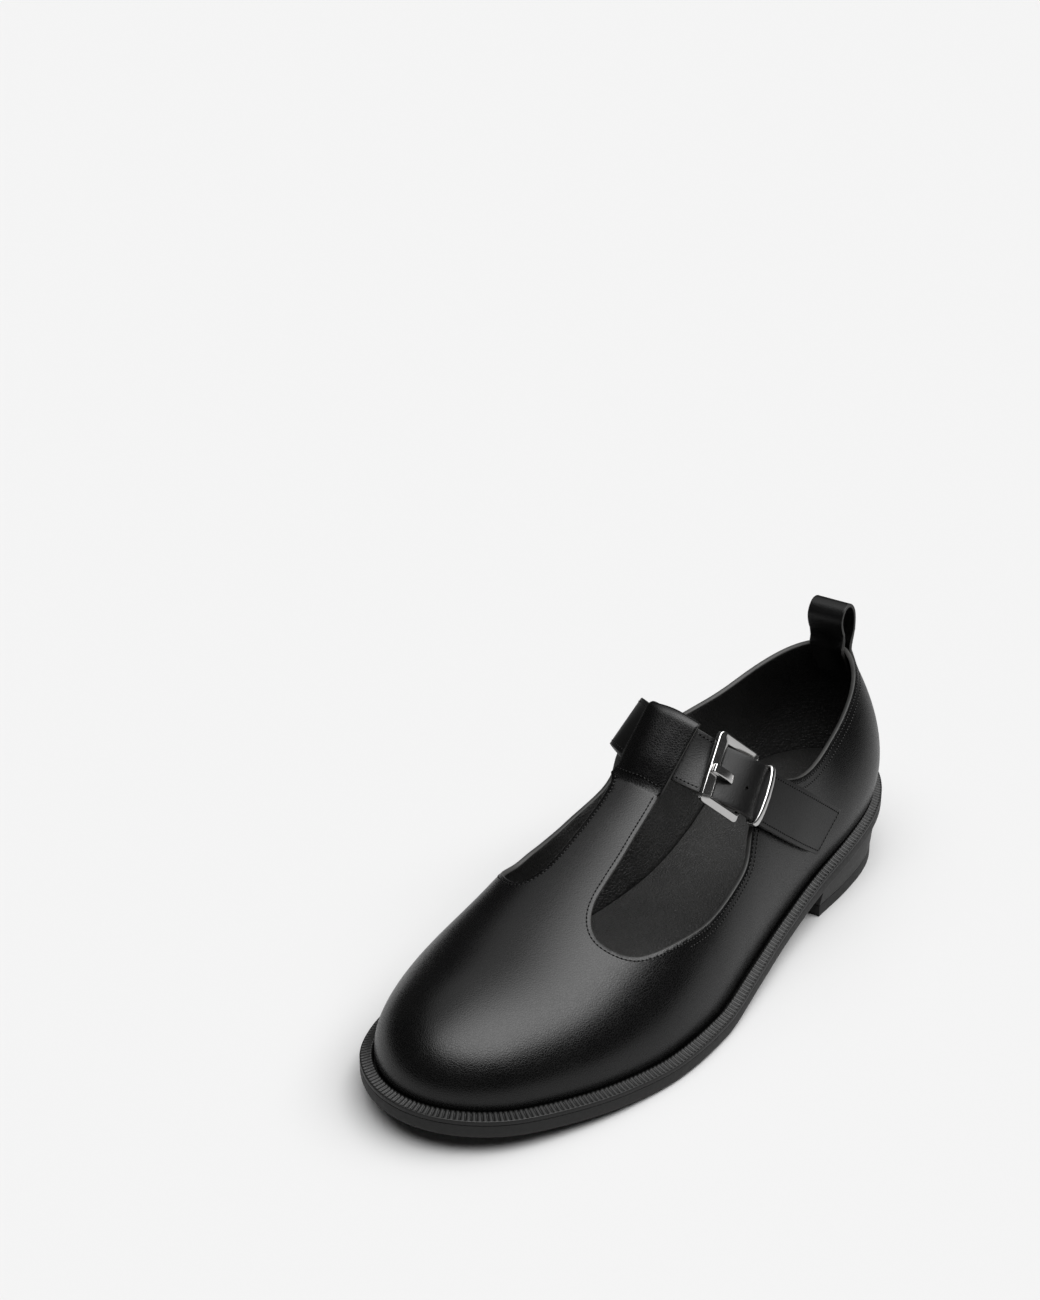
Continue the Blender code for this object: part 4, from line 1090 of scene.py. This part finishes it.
def makeStitches():
    form = stitchForm
    points, faces, looks = [], [], []
    total = 0
    for line, normals in stitchRows():
        run = np.concatenate([[0], np.cumsum(np.linalg.norm(np.diff(line, axis=0), axis=1))])
        for k in range(2 * int(run[-1] / form["pitch"])):
            at = (k + 0.5) * form["pitch"] / 2
            p, ahead = [np.array([np.interp(r, run, line[:, c]) for c in range(3)]) for r in (at, at + 0.3)]
            n = unit(np.array([np.interp(at, run, normals[:, c]) for c in range(3)]))
            t = ahead - p
            t = unit(t - n * np.dot(t, n))
            # every second mark along a row is a thread, the others are painted needle-hole shade
            local, shapeFaces = stitchShapes[k % 2]
            lift = 0.0 if k % 2 else form["radius"] * 0.3 - form["sink"]
            points.append(p + n * lift + local[:, :1] * t + local[:, 1:2] * np.cross(n, t) + local[:, 2:] * n)
            faces += [tuple(total + i for i in f) for f in shapeFaces]
            looks += [k % 2] * len(shapeFaces)
            total += len(local)
    threadAndHoleShade = [finish["thread"], finish["holeShade"]]
    piece = makePiece("stitches", np.concatenate(points), faces, threadAndHoleShade, looks, None)
    faceOutwards(piece)


makeStitches()
print("stitches done")

# floor, light and camera
stageForm = {
    "floor": 14.0, "floorColour": (0.73, 0.73, 0.73), "backdrop": 0.9,
    "poolNear": 0.6, "poolFrom": 0.2, "poolTo": 0.8, "poolEdge": 0.08,
    "horizon": 0.03, "boxLow": 40.0, "boxHigh": 53.0, "boxTilt": (0.04, 0.16), "boxDim": 0.55,
    "boxBright": 4.2, "boxSide": (0.8, -0.35), "sideFrom": -0.35, "sideTo": 0.25,
}
bpy.ops.object.select_all(action="DESELECT")
bpy.ops.mesh.primitive_plane_add(size=stageForm["floor"], location=(0, 0, -0.0002))
floor = bpy.context.object
floor.name = "floor"
floorLook, floorTree, floorShader, floorPlace = startMaterial("pale floor")
floorShader.inputs["Roughness"].default_value = 0.9
floorShader.inputs["Specular IOR Level"].default_value = 0.0
# the camera sees an even floor, the shoe a pool of light that fades away from it
far = addNode(floorTree, "ShaderNodeVectorMath", {"operation": "LENGTH"}, i0=floorPlace).outputs["Value"]
pool = remapNode(floorTree, far, stageForm["poolFrom"], stageForm["poolTo"], stageForm["poolNear"],
                 stageForm["poolEdge"])
cameraRay = floorTree.nodes.new("ShaderNodeLightPath").outputs["Is Camera Ray"]
shownFloor = mathNode(floorTree, "MAXIMUM", pool, cameraRay)
floorTone = colourBetween(floorTree, shownFloor, (0.0, 0.0, 0.0), stageForm["floorColour"])
floorTree.links.new(floorTone, floorShader.inputs["Base Color"])
floor.data.materials.append(floorLook)


def makeWorld():
    # a wide soft box overhead, brighter towards the front, and a dark horizon
    world = bpy.data.worlds.new("studio")
    world.use_nodes = True
    tree = world.node_tree
    sky = tree.nodes.new("ShaderNodeTexCoord").outputs["Generated"]
    split = addNode(tree, "ShaderNodeSeparateXYZ", i0=sky)
    tilted = split.outputs["Z"]
    for k in (0, 1):
        lean = mathNode(tree, "MULTIPLY", split.outputs[k], stageForm["boxTilt"][k])
        tilted = mathNode(tree, "ADD", tilted, lean)
    up = remapNode(tree, tilted, sin(radians(stageForm["boxLow"])), sin(radians(stageForm["boxHigh"])), 0, 1)
    across, ahead = [mathNode(tree, "MULTIPLY", split.outputs[k], stageForm["boxSide"][k]) for k in (0, 1)]
    side = mathNode(tree, "ADD", across, ahead)
    bright = remapNode(tree, side, stageForm["sideFrom"], stageForm["sideTo"], stageForm["boxDim"],
                       stageForm["boxBright"])
    for node in tree.nodes:
        if node.bl_idname == "ShaderNodeMapRange":
            node.interpolation_type = "SMOOTHSTEP"
    light = mathNode(tree, "ADD", mathNode(tree, "MULTIPLY", up, bright), stageForm["horizon"])
    seen = tree.nodes.new("ShaderNodeLightPath").outputs["Is Camera Ray"]
    shown = mathNode(tree, "ADD", mathNode(tree, "MULTIPLY", seen, stageForm["backdrop"]),
                     mathNode(tree, "MULTIPLY", mathNode(tree, "SUBTRACT", 1.0, seen), light))
    tree.links.new(shown, tree.nodes["Background"].inputs["Strength"])
    tree.nodes["Background"].inputs["Color"].default_value = (1, 1, 1, 1)
    scene.world = world


makeWorld()

cameraForm = {"azimuth": 37.35, "elevation": 24.05, "lens": 59.46, "place": (357.01, -543.72, 407.27)}
camera = bpy.data.objects.new("camera", bpy.data.cameras.new("camera"))
scene.collection.objects.link(camera)
camera.data.lens, camera.data.sensor_width, camera.data.sensor_fit = cameraForm["lens"], 36.0, "AUTO"
camera.data.clip_start = 0.01
azimuth, elevation = radians(cameraForm["azimuth"]), radians(cameraForm["elevation"])
backward = Vector((sin(azimuth) * cos(elevation), -cos(azimuth) * cos(elevation), sin(elevation)))
sideways = Vector((cos(azimuth), sin(azimuth), 0))
turn = Matrix((sideways, backward.cross(sideways), backward)).transposed().to_4x4()
turn.translation = Vector((np.array(cameraForm["place"]) + frameShift) * mm)
camera.matrix_world = turn
scene.camera = camera
scene.view_settings.view_transform = "Standard"
print("camera set")
